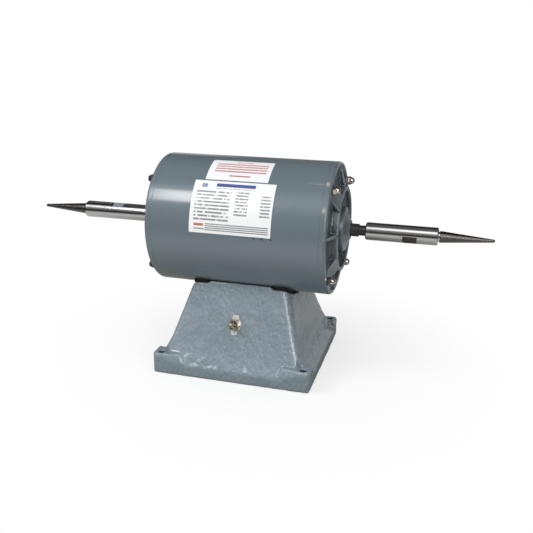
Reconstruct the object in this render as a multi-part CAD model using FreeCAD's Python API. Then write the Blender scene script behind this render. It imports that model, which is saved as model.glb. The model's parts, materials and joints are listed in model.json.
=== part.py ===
import FreeCAD, Part
import math
import os

from FreeCAD import Vector

# Dental polishing lathe: a two-ended motor on a hollow cast pedestal.
# Millimetres. X runs along the motor shaft, -Y is the front with the toggle
# switch, +Z is up and the origin is the middle of the pedestal's underside.
# Angles round the motor start at the front (-Y) and rise towards +Z.

# ---- motor, overall ----
AXIS_HEIGHT = 182.7
SHELL_RADIUS = 82.5
SHELL_WALL = 2.5
SHELL_HALF_LENGTH = 104.0
SHELL_INNER = SHELL_RADIUS - SHELL_WALL
CORE_HALF_LENGTH = SHELL_HALF_LENGTH - 64.0
SLIDE_FIT = 0.05
THROUGH = 2 * SHELL_HALF_LENGTH

# ---- shaft and bearings ----
CORE_SHAFT_RADIUS = 10.0
CORE_SHAFT_HALF = SHELL_HALF_LENGTH
JOURNAL_RADIUS = 8.5
JOURNAL_END = CORE_SHAFT_HALF + 20.0
SHAFT_RADIUS = 7.94
SHAFT_SHOULDER = JOURNAL_END + 15.2
SHAFT_CHAMFER = 1.0
SPINDLE_SEAT_RADIUS = 6.35
SPINDLE_SEAT_END = SHAFT_SHOULDER + 65.8
HUB_SHAFT_CLEARANCE = 0.6
BEARING_X = CORE_SHAFT_HALF + 6.0
BEARING_WIDTH = 12.0
BEARING_BORE = JOURNAL_RADIUS
BALL_CIRCLE = BEARING_BORE + 5.75
BALL_RADIUS = 3.1
BALL_COUNT = 8
RACE_CLEARANCE = 0.06
INNER_RING_OUTER = BALL_CIRCLE - 2.05
OUTER_RING_INNER = BALL_CIRCLE + 2.05
BEARING_OUTER = 2 * BALL_CIRCLE - BEARING_BORE
CAGE_THICKNESS = 1.6
CAGE_WIDTH = 9.0
CAGE_POCKET_GAP = 0.15
SPACER_WALL = 3.5
SEAT_SHOULDER = BEARING_OUTER - 2.5
SEAT_GAP = 0.3
WAVE_WASHER_THICKNESS = 0.8
WAVE_WASHER_HEIGHT = 2.0

# ---- stator and rotor ----
SLOT_COUNT = 24
SLOT_WIDTH = 5.0
SLOT_OPENING = 2.2
SLOT_OUTER = SHELL_INNER - 15.0
STATOR_BORE = SLOT_OUTER - 19.5
SLOT_INNER = STATOR_BORE + 3.0
SLOT_LINER = 0.3
AIR_GAP = 0.5
MAIN_RING_INNER = SLOT_OUTER - 8.0
MAIN_RING_OUTER = SLOT_OUTER + 5.0
START_RING_INNER = SLOT_INNER + 0.5
START_RING_OUTER = MAIN_RING_INNER - 1.5
END_TURN_START = CORE_HALF_LENGTH + 3.0
END_TURN_END = CORE_HALF_LENGTH + 20.0
END_TURN_ROUND = 4.0
ROTOR_SLOT_COUNT = 30
ROTOR_SLOT = 1.2
ROTOR_END_RING = 8.0
ROTOR_RING_OUTER = STATOR_BORE - 2.5
ROTOR_RING_INNER = ROTOR_RING_OUTER - 15.0
FAN_COUNT = 9
FAN_BLADE = 9.0
FAN_THICKNESS = 3.0

# ---- rubber cradle and motor bolts ----
MOTOR_BOLT_X = CORE_HALF_LENGTH + 12.0
MOTOR_BOLT_ANGLE = 20.0
MOTOR_BOLT_RADIUS = 3.0
MOTOR_BOLT_CLEARANCE = 0.4
MOTOR_BOLT_HEAD = 11.0
MOTOR_BOLT_HEAD_HEIGHT = 4.5
MOTOR_WASHER_RADIUS = 7.0
MOTOR_WASHER_THICKNESS = 1.4
WELD_NUT_ACROSS = 11.0
WELD_NUT_HEIGHT = 5.0
PAD_THICKNESS = 4.0
PAD_OUTER_X = MOTOR_BOLT_X + 9.0
PAD_INNER_X = MOTOR_BOLT_X - 9.5
PAD_OUTER_RADIUS = SHELL_RADIUS + PAD_THICKNESS
PAD_OVERHANG = 1.5
LEAD_HOLE_X = 0.25 - MOTOR_BOLT_X
LEAD_HOLE_RADIUS = 6.0
GROMMET_BORE = 4.0
GROMMET_LIP = 1.8
GROMMET_FLANGE = LEAD_HOLE_RADIUS + 2.0

# ---- pedestal ----
FOOT_LENGTH = 204.0
FOOT_DEPTH = 191.4
FOOT_BAND = 14.0
FOOT_CORNER = 6.0
SADDLE_HALF_ANGLE = math.radians(35.55)
BODY_REFERENCE_Z = AXIS_HEIGHT - SHELL_RADIUS * math.cos(SADDLE_HALF_ANGLE)
BODY_TOP = BODY_REFERENCE_Z + 2.4
BODY_HALF_LENGTH = PAD_OUTER_X + 0.1
BODY_HALF_DEPTH = SHELL_RADIUS * math.sin(SADDLE_HALF_ANGLE)
BODY_CORNER = 9.0
FLARE_TOP = 45.0
FLARE_STEPS = 5
FLARE_SIDE = 9.3
FLARE_FRONT = 4.6
BODY_RISE = BODY_REFERENCE_Z - FOOT_BAND
SIDE_SLOPE = (FOOT_LENGTH / 2 - FLARE_SIDE - BODY_HALF_LENGTH) / BODY_RISE
FRONT_SLOPE = (FOOT_DEPTH / 2 - FLARE_FRONT - BODY_HALF_DEPTH) / BODY_RISE
FRONT_TILT = math.degrees(math.atan(FRONT_SLOPE))
PEDESTAL_WALL = 7.0
WEB_UNDER_RADIUS = PAD_OUTER_RADIUS + PEDESTAL_WALL
EAR_HEIGHT = 27.0
EAR_ALONG_FRONT = 40.0
EAR_ALONG_SIDE = 26.0
EAR_EDGE_ROUND = 1.2
EAR_FACET_START = 3.0
EAR_FACET_END = 36.0
EAR_FACET_DEPTH = 6.0
EAR_FACET_REACH = 1.5
EAR_POST_RADIUS = 13.0
BENCH_HOLE_X = FOOT_LENGTH / 2 - 10.0
BENCH_HOLE_Y = FOOT_DEPTH / 2 - 8.7
BENCH_HOLE_RADIUS = 3.6
BENCH_HEAD_RADIUS = 8.5
BENCH_SEAT_WIDENING = 7.0
LIP_HALF_LENGTH = PAD_INNER_X - 1.5
LIP_GAP = 1.0
LIP_DEPTH = 8.0
LIP_TROUGH_EXTRA = 4.0
NOTCH_RAMP = 3.0

# ---- bottom plate ----
PLATE_THICKNESS = 1.5
PLATE_RECESS = 1.2
PLATE_SIDE_GAP = 0.6
PLATE_BOSS_X = FOOT_LENGTH / 2 - 50.0
PLATE_BOSS_RADIUS = 6.0
PLATE_BOSS_HEIGHT = 14.0
PLATE_SCREW_RADIUS = 2.0
PLATE_SCREW_HEAD = 3.8
PLATE_SCREW_HEAD_HEIGHT = 1.0
PLATE_SCREW_DEPTH = 9.0
PLATE_SCREW_SLOT = 0.8
PLATE_VENT_COUNT = 7
PLATE_VENT_PITCH = 12.0
PLATE_VENT_WIDTH = 4.0
PLATE_VENT_LENGTH = 30.0

# ---- cord inlet ----
CORD_INLET_Z = FLARE_TOP + 12.0
CORD_BORE = 4.0
CORD_BODY_RADIUS = 7.5
CORD_FLANGE_RADIUS = 10.5
CORD_FLANGE_THICKNESS = 3.0
CORD_BOOT_LENGTH = 7.0
CORD_BOOT_BASE = CORD_FLANGE_RADIUS - 2.5
CORD_BOOT_TIP = CORD_BORE + 2.0
CORD_NUT_ACROSS = 19.0
CORD_NUT_THICKNESS = 4.0
CORD_NUT_POCKET = 14.0
CORD_POCKET_DEPTH = 0.5
CORD_THREAD_END = 4.0

# ---- toggle switch ----
SWITCH_Z = FLARE_TOP + 21.5
BUSHING_RADIUS = 5.9
BUSHING_LENGTH = 9.0
BUSHING_BORE = 4.3
BUSHING_CLEARANCE = 0.15
BUSHING_MOUTH = 1.2
BUSHING_MOUTH_DEPTH = 3.0
THREAD_GROOVE_COUNT = 6
THREAD_GROOVE_STEP = 0.9
THREAD_GROOVE_START = 3.2
THREAD_GROOVE_WIDTH = 0.4
THREAD_GROOVE_DEPTH = 0.25
SWITCH_NUT_ACROSS = 14.3
SWITCH_NUT_THICKNESS = 2.4
SWITCH_NUT_CROWN = 1.7
TAG_THICKNESS = 0.8
TAG_LENGTH = 25.4
TAG_WIDTH = 8.6
TAG_CORNER = 0.36 * TAG_WIDTH
TAG_RING = BUSHING_RADIUS + 2.1
SWITCH_BODY_WIDTH = 17.0
SWITCH_BODY_HEIGHT = 30.0
SWITCH_BODY_DEPTH = 19.0
SWITCH_BODY_EDGE = 0.8
SWITCH_POCKET_ROOM = 3.0
LEVER_REACH = 19.5
LEVER_TIP_RADIUS = 2.7
LEVER_NECK_RADIUS = 1.7
LEVER_BALL_RADIUS = 3.0
LEVER_BALL_GAP = 0.3
LEVER_PIN_RADIUS = 0.9
LEVER_PIVOT = 1.5
TERMINAL_LENGTH = 7.0
TERMINAL_ROW = 9.5
TERMINAL_COLUMN = 4.4
TERMINAL_WIDTH = 4.8
TERMINAL_THICKNESS = 0.8
TERMINAL_EYE = 1.1
PANEL_THICKNESS = 4.3
LOCK_WASHER_PANEL = 1.2

# ---- through bolts ----
BOLT_CIRCLE = SHELL_RADIUS - 6.0
BOLT_ANGLE = 49.0
BOLT_COUNT = 4
BOLT_RADIUS = 2.4
BOLT_HOLE = 2.7
BOLT_GROOVE = BOLT_RADIUS + 0.8
ACORN_ACROSS = 9.5
ACORN_HEX = 4.2
ACORN_DOME = 4.4
ACORN_CROWN = 1.8
BOLT_HEAD_ACROSS = 8.0
BOLT_HEAD_HEIGHT = 3.6
BOLT_HEAD_CROWN = 1.7
LOCK_WASHER_RADIUS = 5.2
LOCK_WASHER_THICKNESS = 1.2

# ---- end bells ----
BELL_RIM = 8.0
RIM_X = SHELL_HALF_LENGTH + BELL_RIM
BELL_RIM_WALL = 5.0
BELL_EDGE = 3.0
BELL_SPIGOT = 6.0
BELL_SPIGOT_WALL = 3.0
BELL_FLOOR = 4.0
BELL_FLOOR_RIM_X = SHELL_HALF_LENGTH + 1.5
BELL_RING_X = SHELL_HALF_LENGTH + 17.0
BELL_RING_OUTER = SHELL_RADIUS - 30.5
BELL_RING_WALL = 4.0
BELL_INNER_FLOOR_X = SHELL_HALF_LENGTH + 9.0
BELL_HUB_RADIUS = BEARING_OUTER + 7.0
BELL_HUB_EDGE_X = SHELL_HALF_LENGTH + 18.5
BELL_HUB_X = SHELL_HALF_LENGTH + 24.5
BELL_HUB_COLLAR = 2.2
BELL_HUB_WALL = 4.5
BELL_RIB = 4.0
BELL_RIB_ANGLE = 4.0
BELL_RIB_COUNT = 4
BELL_ARM = 17.0
BELL_ARM_SPREAD = 3.0
BELL_ARM_DROP = 1.0
BELL_SEAT_REACH = 7.0
VENT_INNER = BELL_HUB_RADIUS + 3.0
VENT_OUTER = BELL_RING_OUTER - 6.5
VENT_COUNT = 8
VENT_SPOKE = 7.0

# ---- starting gear ----
GOVERNOR_PLATE_X = -END_TURN_END - 6.0
GOVERNOR_PLATE_THICKNESS = 3.0
GOVERNOR_PLATE_RADIUS = 24.0
GOVERNOR_HUB_WALL = 4.0
GOVERNOR_HUB_LENGTH = 6.0
GOVERNOR_EAR = 6.4
GOVERNOR_EAR_LENGTH = 9.0
GOVERNOR_EAR_THICKNESS = 2.4
GOVERNOR_EAR_GAP = 0.6
WEIGHT_PIVOT_X = GOVERNOR_PLATE_X - 6.0
WEIGHT_PIVOT_RADIUS = 19.0
WEIGHT_PIVOT_PIN = 1.5
WEIGHT_LENGTH = 12.0
WEIGHT_WIDTH = 13.0
WEIGHT_EYE = 2.9
WEIGHT_TOP = 0.8
FINGER_REACH = 6.5
FINGER_HALF = 2.4
FINGER_WIDTH = 6.0
COLLAR_GAP = 0.5
COLLAR_LENGTH = 9.0
COLLAR_RADIUS = 14.0
COLLAR_FLANGE = 17.5
COLLAR_FLANGE_THICKNESS = 3.0
COLLAR_TRAVEL = 2.6
COLLAR_X = WEIGHT_PIVOT_X - FINGER_HALF - COLLAR_GAP
BOARD_X = 5.0 - SHELL_HALF_LENGTH
BOARD_THICKNESS = 3.0
BOARD_INNER = COLLAR_FLANGE + 5.5
BOARD_OUTER = BOARD_INNER + 23.0
BOARD_FOOT = 2.0
BOARD_POST_RADIUS = 3.2
BOARD_POST_CIRCLE = BOARD_OUTER - 6.0
BOARD_POST_LENGTH = 3.5
LEAF_X = COLLAR_X - COLLAR_LENGTH - COLLAR_TRAVEL - 2.0
LEAF_WIDTH = 8.0
LEAF_THICKNESS = 0.6
LEAF_FOOT_Z = COLLAR_FLANGE - 4.5
LEAF_TOP_Z = BOARD_OUTER - 4.0
STANDOFF_HEIGHT = 6.0
CONTACT_RADIUS = 3.0
CONTACT_Z = BOARD_INNER + 6.0
CONTACT_GAP = 0.6
CONTACT_HEIGHT = 2.0

# ---- capacitor and leads ----
CAPACITOR_RADIUS = 20.0
CAPACITOR_LENGTH = 72.0
CAPACITOR_EDGE = 1.5
CAPACITOR_Y = FOOT_DEPTH / 2 - 61.7
CAPACITOR_TAG = 8.0
CAPACITOR_TAG_Y = 6.0
CAPACITOR_TAG_WIDTH = 6.0
CAPACITOR_TAG_THICKNESS = 0.8
CLAMP_WIDTH = 16.0
CLAMP_THICKNESS = 1.2
CLAMP_FOOT = 11.0
WIRE_RADIUS = 1.6
LEAD_BEND = 9.0
LEAD_SPACING = 1.9
LEAD_END_GAP = 0.4
LEAD_STRAIGHT = 5.0
LEAD_RUN = 14.0
LEAD_SPREAD = 3.0
MIN_HALF_TURN = 0.01

# ---- spindles ----
SPINDLE_START = SHAFT_SHOULDER + 7.8
LEFT_SLEEVE_EXTRA = 5.0
SPINDLE_SLEEVE_END = SPINDLE_START + 86.8
SPINDLE_RADIUS = 10.9
SPINDLE_CHAMFER = 1.3
SPINDLE_NECK_LENGTH = 1.8
SPINDLE_NECK_RADIUS = 6.2
TAPER_BASE_RADIUS = 7.2
TAPER_TIP_RADIUS = 1.9
TAPER_TIP_X = SPINDLE_SLEEVE_END + 64.9
THREAD_PITCH = 2.4
THREAD_DEPTH = 0.55
FLAT_LENGTH = 17.0
FLAT_X_LEFT = SPINDLE_START + 39.5
FLAT_X_RIGHT = SPINDLE_START + 53.5
FLAT_DEPTH = 1.5
FLAT_ANGLE_LEFT = 71.0
FLAT_ANGLE_RIGHT = -36.0
SET_SCREW_RADIUS = 2.5
SET_SCREW_TOP = 0.4
SET_SCREW_SOCKET = 2.5
SET_SCREW_SOCKET_DEPTH = 1.5

# ---- plates on the shell ----
LABEL_THICKNESS = 0.35
LABEL_GLUE = 0.15
RATING_X = (50.7 - SHELL_HALF_LENGTH, 47.3)
RATING_ANGLE = (2.2, 47.4)
NOTICE_X = (62.5 - SHELL_HALF_LENGTH, 36.2)
NOTICE_ANGLE = (48.7, 75.0)
RIVET_X = (SHELL_HALF_LENGTH - 76.8, SHELL_HALF_LENGTH - 67.0, SHELL_HALF_LENGTH - 56.4)
RIVET_ANGLE = 1.2
RIVET_RADIUS = 1.1
RIVET_SHANK = 0.7 * RIVET_RADIUS
RIVET_HEIGHT = 0.5

SIDES = ((-1, "left"), (1, "right"))
AXIS_POINT = Vector(0, 0, AXIS_HEIGHT)
X_AXIS = Vector(1, 0, 0)
FRONT = Vector(0, -1, 0)


# ---- helpers ----
def rod(x0, x1, radius):
    """Cylinder along the motor axis between two X stations."""
    return Part.makeCylinder(radius, x1 - x0, Vector(x0, 0, AXIS_HEIGHT), X_AXIS)


def tube(x0, x1, outer, inner):
    return rod(x0, x1, outer).cut(rod(x0 - 1, x1 + 1, inner))


def turned(profile):
    """Solid turned about the motor axis from (x, radius) corners."""
    points = [Vector(x, 0, AXIS_HEIGHT + r) for x, r in profile]
    face = Part.Face(Part.makePolygon(points + [points[0]]))
    return face.revolve(AXIS_POINT, X_AXIS, 360)


def at_angle(shape, angle):
    """Turn a shape built at the front (-Y) to an angle round the motor axis."""
    turned_shape = shape.copy()
    turned_shape.rotate(AXIS_POINT, X_AXIS, -angle)
    return turned_shape


def front_point(x, radius):
    return Vector(x, -radius, AXIS_HEIGHT)


def radial_rod(x, r0, r1, radius, angle):
    """Cylinder pointing outwards from the motor axis."""
    pin = Part.makeCylinder(radius, r1 - r0, front_point(x, r0), FRONT)
    return at_angle(pin, angle)


def hexagon(across, height, base, axis):
    """Hexagonal prism standing on a base point."""
    corner = across / math.sqrt(3)
    points = [
        Vector(corner * math.cos(math.radians(60 * i)), corner * math.sin(math.radians(60 * i)), 0)
        for i in range(7)
    ]
    prism = Part.Face(Part.makePolygon(points)).extrude(Vector(0, 0, height))
    prism.Placement = FreeCAD.Placement(base, FreeCAD.Rotation(Vector(0, 0, 1), axis))
    return prism


def block(x0, x1, y0, y1, z0, z1):
    return Part.makeBox(x1 - x0, y1 - y0, z1 - z0, Vector(x0, y0, z0))


def prism_along_y(corners, y0, y1):
    """Extrude an (x, z) outline along Y."""
    points = [Vector(x, y0, z) for x, z in corners]
    face = Part.Face(Part.makePolygon(points + [points[0]]))
    return face.extrude(Vector(0, y1 - y0, 0))


def rounded_wire(z, half_x, half_y, corner):
    """Rectangle with round corners at one height."""
    inner_x = half_x - corner
    inner_y = half_y - corner
    edges = []
    centres = [
        (inner_x, inner_y, 0),
        (-inner_x, inner_y, 90),
        (-inner_x, -inner_y, 180),
        (inner_x, -inner_y, 270),
    ]
    for i, (cx, cy, start) in enumerate(centres):
        nx, ny, nstart = centres[(i + 1) % 4]
        arc = [corner_point(cx, cy, corner, start + step, z) for step in (0, 45, 90)]
        edges.append(Part.Arc(*arc).toShape())
        edges.append(Part.makeLine(arc[2], corner_point(nx, ny, corner, nstart, z)))
    return Part.Wire(edges)


def corner_point(cx, cy, corner, angle, z):
    turn = math.radians(angle)
    return Vector(cx + corner * math.cos(turn), cy + corner * math.sin(turn), z)


def hole_through(point, direction, radius):
    """Cutter that passes through a wall at a point, along a direction."""
    return Part.makeCylinder(radius, THROUGH / 4, point - direction * (THROUGH / 8), direction)


def fuse_all(shapes):
    return shapes[0].multiFuse(shapes[1:]).removeSplitter() if len(shapes) > 1 else shapes[0]


def mirrored(shape, side):
    """Shapes are drawn for the +X end; the -X end is their mirror image."""
    if side > 0:
        return shape
    return shape.mirror(Vector(0, 0, 0), X_AXIS)


def grown(half, slope, foot_half, z, inset):
    """Half size of the pedestal body at a height, with its flare at the foot."""
    straight = half + (BODY_REFERENCE_Z - z) * slope
    at_band = half + (BODY_REFERENCE_Z - FOOT_BAND) * slope
    rise = max(0.0, (FLARE_TOP - z) / (FLARE_TOP - FOOT_BAND))
    return straight + (foot_half - at_band) * rise ** 2 - inset


def body_wire(z, inset, corner):
    half_x = grown(BODY_HALF_LENGTH, SIDE_SLOPE, FOOT_LENGTH / 2, z, inset)
    half_y = grown(BODY_HALF_DEPTH, FRONT_SLOPE, FOOT_DEPTH / 2, z, inset)
    return rounded_wire(z, half_x, half_y, corner)


def body_solid(inset, bottom, top, corner):
    """Foot band, concave flare and straight-sided body as one solid."""
    foot = rounded_wire(bottom, FOOT_LENGTH / 2 - inset, FOOT_DEPTH / 2 - inset, FOOT_CORNER)
    band = Part.Face(foot).extrude(Vector(0, 0, FOOT_BAND - bottom))
    sections = []
    for i in range(FLARE_STEPS + 1):
        share = i / FLARE_STEPS
        z = FOOT_BAND + (FLARE_TOP - FOOT_BAND) * share
        sections.append(body_wire(z, inset, FOOT_CORNER + (corner - FOOT_CORNER) * share))
    flare = Part.makeLoft(sections, True, False)
    upper = Part.makeLoft([body_wire(FLARE_TOP, inset, corner), body_wire(top, inset, corner)], True, True)
    return band.fuse([flare, upper])


# ---- pedestal ----
def ear_prism(sx, sy):
    """Triangular mounting ear at one corner of the foot."""
    x = sx * FOOT_LENGTH / 2
    y = sy * FOOT_DEPTH / 2
    corners = [
        Vector(x, y, 0),
        Vector(x - sx * EAR_ALONG_FRONT, y, 0),
        Vector(x - sx * EAR_ALONG_FRONT * 0.86, y - sy * EAR_ALONG_SIDE * 0.34, 0),
        Vector(x - sx * EAR_ALONG_FRONT * 0.32, y - sy * EAR_ALONG_SIDE * 0.82, 0),
        Vector(x, y - sy * EAR_ALONG_SIDE, 0),
    ]
    return Part.Face(Part.makePolygon(corners + [corners[0]])).extrude(Vector(0, 0, EAR_HEIGHT))


def ear_facet(sx, sy):
    """Wedge cut off an ear, so that its outer face slopes down to the band."""
    x = sx * FOOT_LENGTH / 2
    y = sy * FOOT_DEPTH / 2
    peak = Vector(x - sx * EAR_FACET_START, y, EAR_HEIGHT)
    low = Vector(x - sx * EAR_ALONG_FRONT, y, FOOT_BAND)
    back = Vector(x - sx * EAR_FACET_END, y - sy * EAR_FACET_DEPTH, EAR_HEIGHT)
    beyond_low = peak + (low - peak) * EAR_FACET_REACH
    beyond_back = peak + (back - peak) * EAR_FACET_REACH
    outward = (low - peak).cross(back - peak).normalize() * (sx * sy * EAR_HEIGHT)
    return Part.Face(Part.makePolygon([peak, beyond_low, beyond_back, peak])).extrude(outward)


def ears():
    foot = rounded_wire(0, FOOT_LENGTH / 2, FOOT_DEPTH / 2, FOOT_CORNER)
    column = Part.Face(foot).extrude(Vector(0, 0, EAR_HEIGHT))
    top_edges = [e for e in column.Edges if e.BoundBox.ZMin > EAR_HEIGHT - 0.1]
    rounded = column.makeFillet(EAR_EDGE_ROUND, top_edges)
    places = [(sx, sy) for sx in (-1, 1) for sy in (-1, 1)]
    return [ear_prism(sx, sy).common(rounded).cut(ear_facet(sx, sy)) for sx, sy in places]


def bench_holes():
    holes = []
    for sx in (-1, 1):
        for sy in (-1, 1):
            centre = Vector(sx * BENCH_HOLE_X, sy * BENCH_HOLE_Y, -1)
            holes.append(Part.makeCylinder(BENCH_HOLE_RADIUS, EAR_HEIGHT + 3, centre))
            seat = Vector(sx * BENCH_HOLE_X, sy * BENCH_HOLE_Y, EAR_HEIGHT)
            wide = BENCH_HEAD_RADIUS + BENCH_SEAT_WIDENING
            holes.append(Part.makeCone(BENCH_HEAD_RADIUS, wide, EAR_HEIGHT, seat))
    return holes


def notch_cutter(side):
    """Room beside the raised lip for one rubber strip, with a ramped end."""
    low = AXIS_HEIGHT - THROUGH
    high = BODY_TOP + 2
    start = LIP_HALF_LENGTH
    outline = [(start + NOTCH_RAMP, low), (start, high), (THROUGH, high), (THROUGH, low)]
    slot = prism_along_y(outline, -THROUGH, THROUGH)
    return mirrored(slot, side).common(rod(-THROUGH, THROUGH, PAD_OUTER_RADIUS))


def wiring_chamber():
    """Hollow under the saddle web, open at the bottom and solid at the ears."""
    chamber = body_solid(PEDESTAL_WALL, -1, BODY_REFERENCE_Z, BODY_CORNER - 3)
    chamber = chamber.cut(rod(-THROUGH, THROUGH, WEB_UNDER_RADIUS))
    posts = []
    for sx in (-1, 1):
        for sy in (-1, 1):
            base = Vector(sx * BENCH_HOLE_X, sy * BENCH_HOLE_Y, -1)
            posts.append(Part.makeCylinder(EAR_POST_RADIUS, 2 * EAR_HEIGHT, base))
    return chamber.cut(fuse_all(posts))


def plate_bosses():
    """Screw bosses inside the front and rear walls for the bottom plate."""
    top = PLATE_BOSS_HEIGHT
    wall = FOOT_DEPTH / 2 - PEDESTAL_WALL
    bosses = []
    for x, y in plate_screw_places():
        sy = 1 if y > 0 else -1
        post = Part.makeCylinder(PLATE_BOSS_RADIUS, top - plate_top(), Vector(x, y, plate_top()))
        y0, y1 = sorted((y, sy * (wall + 2)))
        web = block(x - PLATE_BOSS_RADIUS, x + PLATE_BOSS_RADIUS, y0, y1, plate_top(), top)
        bosses.append(post.fuse(web))
    return bosses


def plate_top():
    return PLATE_RECESS + PLATE_THICKNESS


def plate_screw_places():
    y = FOOT_DEPTH / 2 - PEDESTAL_WALL - PLATE_BOSS_RADIUS
    return [(sx * PLATE_BOSS_X, sy * y) for sx in (-1, 1) for sy in (-1, 1)]


def face_y(z):
    return -(BODY_HALF_DEPTH + (BODY_REFERENCE_Z - z) * FRONT_SLOPE)


def switch_frame():
    """Point on the front face and its outward direction at the switch."""
    tilt = math.radians(FRONT_TILT)
    return Vector(0, face_y(SWITCH_Z), SWITCH_Z), Vector(0, -math.cos(tilt), math.sin(tilt))


def cord_frame():
    """Point on the rear face and its outward direction at the cord inlet."""
    tilt = math.radians(FRONT_TILT)
    y = grown(BODY_HALF_DEPTH, FRONT_SLOPE, FOOT_DEPTH / 2, CORD_INLET_Z, 0)
    return Vector(0, y, CORD_INLET_Z), Vector(0, math.cos(tilt), math.sin(tilt))


def motor_bolt_places():
    return [(sx * MOTOR_BOLT_X, -90 + sa * MOTOR_BOLT_ANGLE) for sx in (-1, 1) for sa in (-1, 1)]


def pedestal():
    body = body_solid(0, 0, BODY_TOP, BODY_CORNER).fuse(ears())
    body = body.cut(rod(-THROUGH, THROUGH, SHELL_RADIUS + LIP_GAP))
    for side, _ in SIDES:
        body = body.cut(notch_cutter(side))
    inner_depth = BODY_HALF_DEPTH - LIP_DEPTH
    reach = LIP_HALF_LENGTH + LIP_TROUGH_EXTRA
    trough = block(-reach, reach, -inner_depth, inner_depth, FLARE_TOP, BODY_TOP + 2)
    body = body.cut(trough.common(rod(-THROUGH, THROUGH, PAD_OUTER_RADIUS)))
    body = body.cut(wiring_chamber())
    limit = body_solid(1.0, 0, BODY_TOP, BODY_CORNER)
    body = body.fuse([boss.common(limit) for boss in plate_bosses()])
    cuts = bench_holes()
    for x, angle in motor_bolt_places():
        cuts.append(radial_rod(x, SHELL_RADIUS, THROUGH, MOTOR_BOLT_RADIUS + MOTOR_BOLT_CLEARANCE, angle))
    cuts.append(radial_rod(LEAD_HOLE_X, SHELL_RADIUS, THROUGH, LEAD_HOLE_RADIUS, -90))
    point, out = switch_frame()
    cuts.append(hole_through(point, out, BUSHING_RADIUS + BUSHING_CLEARANCE))
    width = SWITCH_BODY_WIDTH + SWITCH_POCKET_ROOM
    height = SWITCH_BODY_HEIGHT + SWITCH_POCKET_ROOM
    cuts.append(switch_box(width, height, SWITCH_BODY_DEPTH, panel_inside()))
    point, out = cord_frame()
    cuts.append(hole_through(point, out, CORD_BODY_RADIUS))
    pocket = point - out * (PEDESTAL_WALL - CORD_POCKET_DEPTH)
    cuts.append(Part.makeCylinder(CORD_NUT_POCKET, 4 * PEDESTAL_WALL, pocket, out * -1))
    for x, y in plate_screw_places():
        cuts.append(Part.makeCylinder(PLATE_SCREW_RADIUS, PLATE_SCREW_DEPTH, Vector(x, y, 0)))
    return body.cut(cuts)


def bottom_plate():
    inset = PEDESTAL_WALL + PLATE_SIDE_GAP
    wire = rounded_wire(PLATE_RECESS, FOOT_LENGTH / 2 - inset, FOOT_DEPTH / 2 - inset, FOOT_CORNER)
    plate = Part.Face(wire).extrude(Vector(0, 0, PLATE_THICKNESS))
    for sx in (-1, 1):
        for sy in (-1, 1):
            corner = Vector(sx * BENCH_HOLE_X, sy * BENCH_HOLE_Y, -1)
            plate = plate.cut(Part.makeCylinder(EAR_POST_RADIUS + PLATE_SIDE_GAP, EAR_HEIGHT, corner))
    for x, y in plate_screw_places():
        plate = plate.cut(Part.makeCylinder(PLATE_SCREW_RADIUS, EAR_HEIGHT, Vector(x, y, -1)))
    half = PLATE_VENT_WIDTH / 2
    for i in range(PLATE_VENT_COUNT):
        x = PLATE_VENT_PITCH * (i - (PLATE_VENT_COUNT - 1) / 2)
        plate = plate.cut(block(x - half, x + half, -PLATE_VENT_LENGTH, 0, -1, EAR_HEIGHT))
    return plate


def bottom_plate_screws():
    screws = []
    for x, y in plate_screw_places():
        length = PLATE_SCREW_DEPTH - PLATE_THICKNESS
        shank = Part.makeCylinder(PLATE_SCREW_RADIUS, length, Vector(x, y, PLATE_RECESS))
        base = Vector(x, y, PLATE_RECESS - PLATE_SCREW_HEAD_HEIGHT)
        head = Part.makeCylinder(PLATE_SCREW_HEAD, PLATE_SCREW_HEAD_HEIGHT, base)
        half = PLATE_SCREW_SLOT / 2
        slot = block(x - half, x + half, y - PLATE_BOSS_RADIUS, y + PLATE_BOSS_RADIUS, -1, base.z + half)
        screws.append(shank.fuse(head).cut(slot))
    return Part.makeCompound(screws)


# ---- cradle, motor bolts and grommet ----
def saddle_pad(side):
    strip = tube(PAD_INNER_X, PAD_OUTER_X, PAD_OUTER_RADIUS, SHELL_RADIUS)
    limit = body_solid(-PAD_OVERHANG, 0, BODY_TOP, BODY_CORNER)
    depth = BODY_HALF_DEPTH + PAD_OVERHANG
    window = block(0, THROUGH, -depth, depth, 0, BODY_TOP)
    pad = mirrored(strip.common(window).common(limit), side)
    hole = MOTOR_BOLT_RADIUS + MOTOR_BOLT_CLEARANCE
    for x, angle in motor_bolt_places():
        pad = pad.cut(radial_rod(x, SHELL_RADIUS - 2, THROUGH, hole, angle))
    return pad.cut(radial_rod(LEAD_HOLE_X, SHELL_RADIUS - 2, THROUGH, LEAD_HOLE_RADIUS, -90))


def motor_bolts():
    bolts = []
    for x, angle in motor_bolt_places():
        seat = WEB_UNDER_RADIUS + MOTOR_WASHER_THICKNESS
        shank = radial_rod(x, SHELL_INNER - WELD_NUT_HEIGHT - 1, seat, MOTOR_BOLT_RADIUS, angle)
        head = hexagon(MOTOR_BOLT_HEAD, MOTOR_BOLT_HEAD_HEIGHT, front_point(x, seat), FRONT)
        bolts.append(shank.fuse(at_angle(head, angle)))
    return Part.makeCompound(bolts)


def motor_washers():
    washers = []
    for x, angle in motor_bolt_places():
        seat = WEB_UNDER_RADIUS + MOTOR_WASHER_THICKNESS
        disc = radial_rod(x, PAD_OUTER_RADIUS, seat, MOTOR_WASHER_RADIUS, angle)
        hole = radial_rod(x, SHELL_RADIUS, THROUGH, MOTOR_BOLT_RADIUS, angle)
        washers.append(disc.cut(rod(-THROUGH, THROUGH, WEB_UNDER_RADIUS)).cut(hole))
    return Part.makeCompound(washers)


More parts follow.
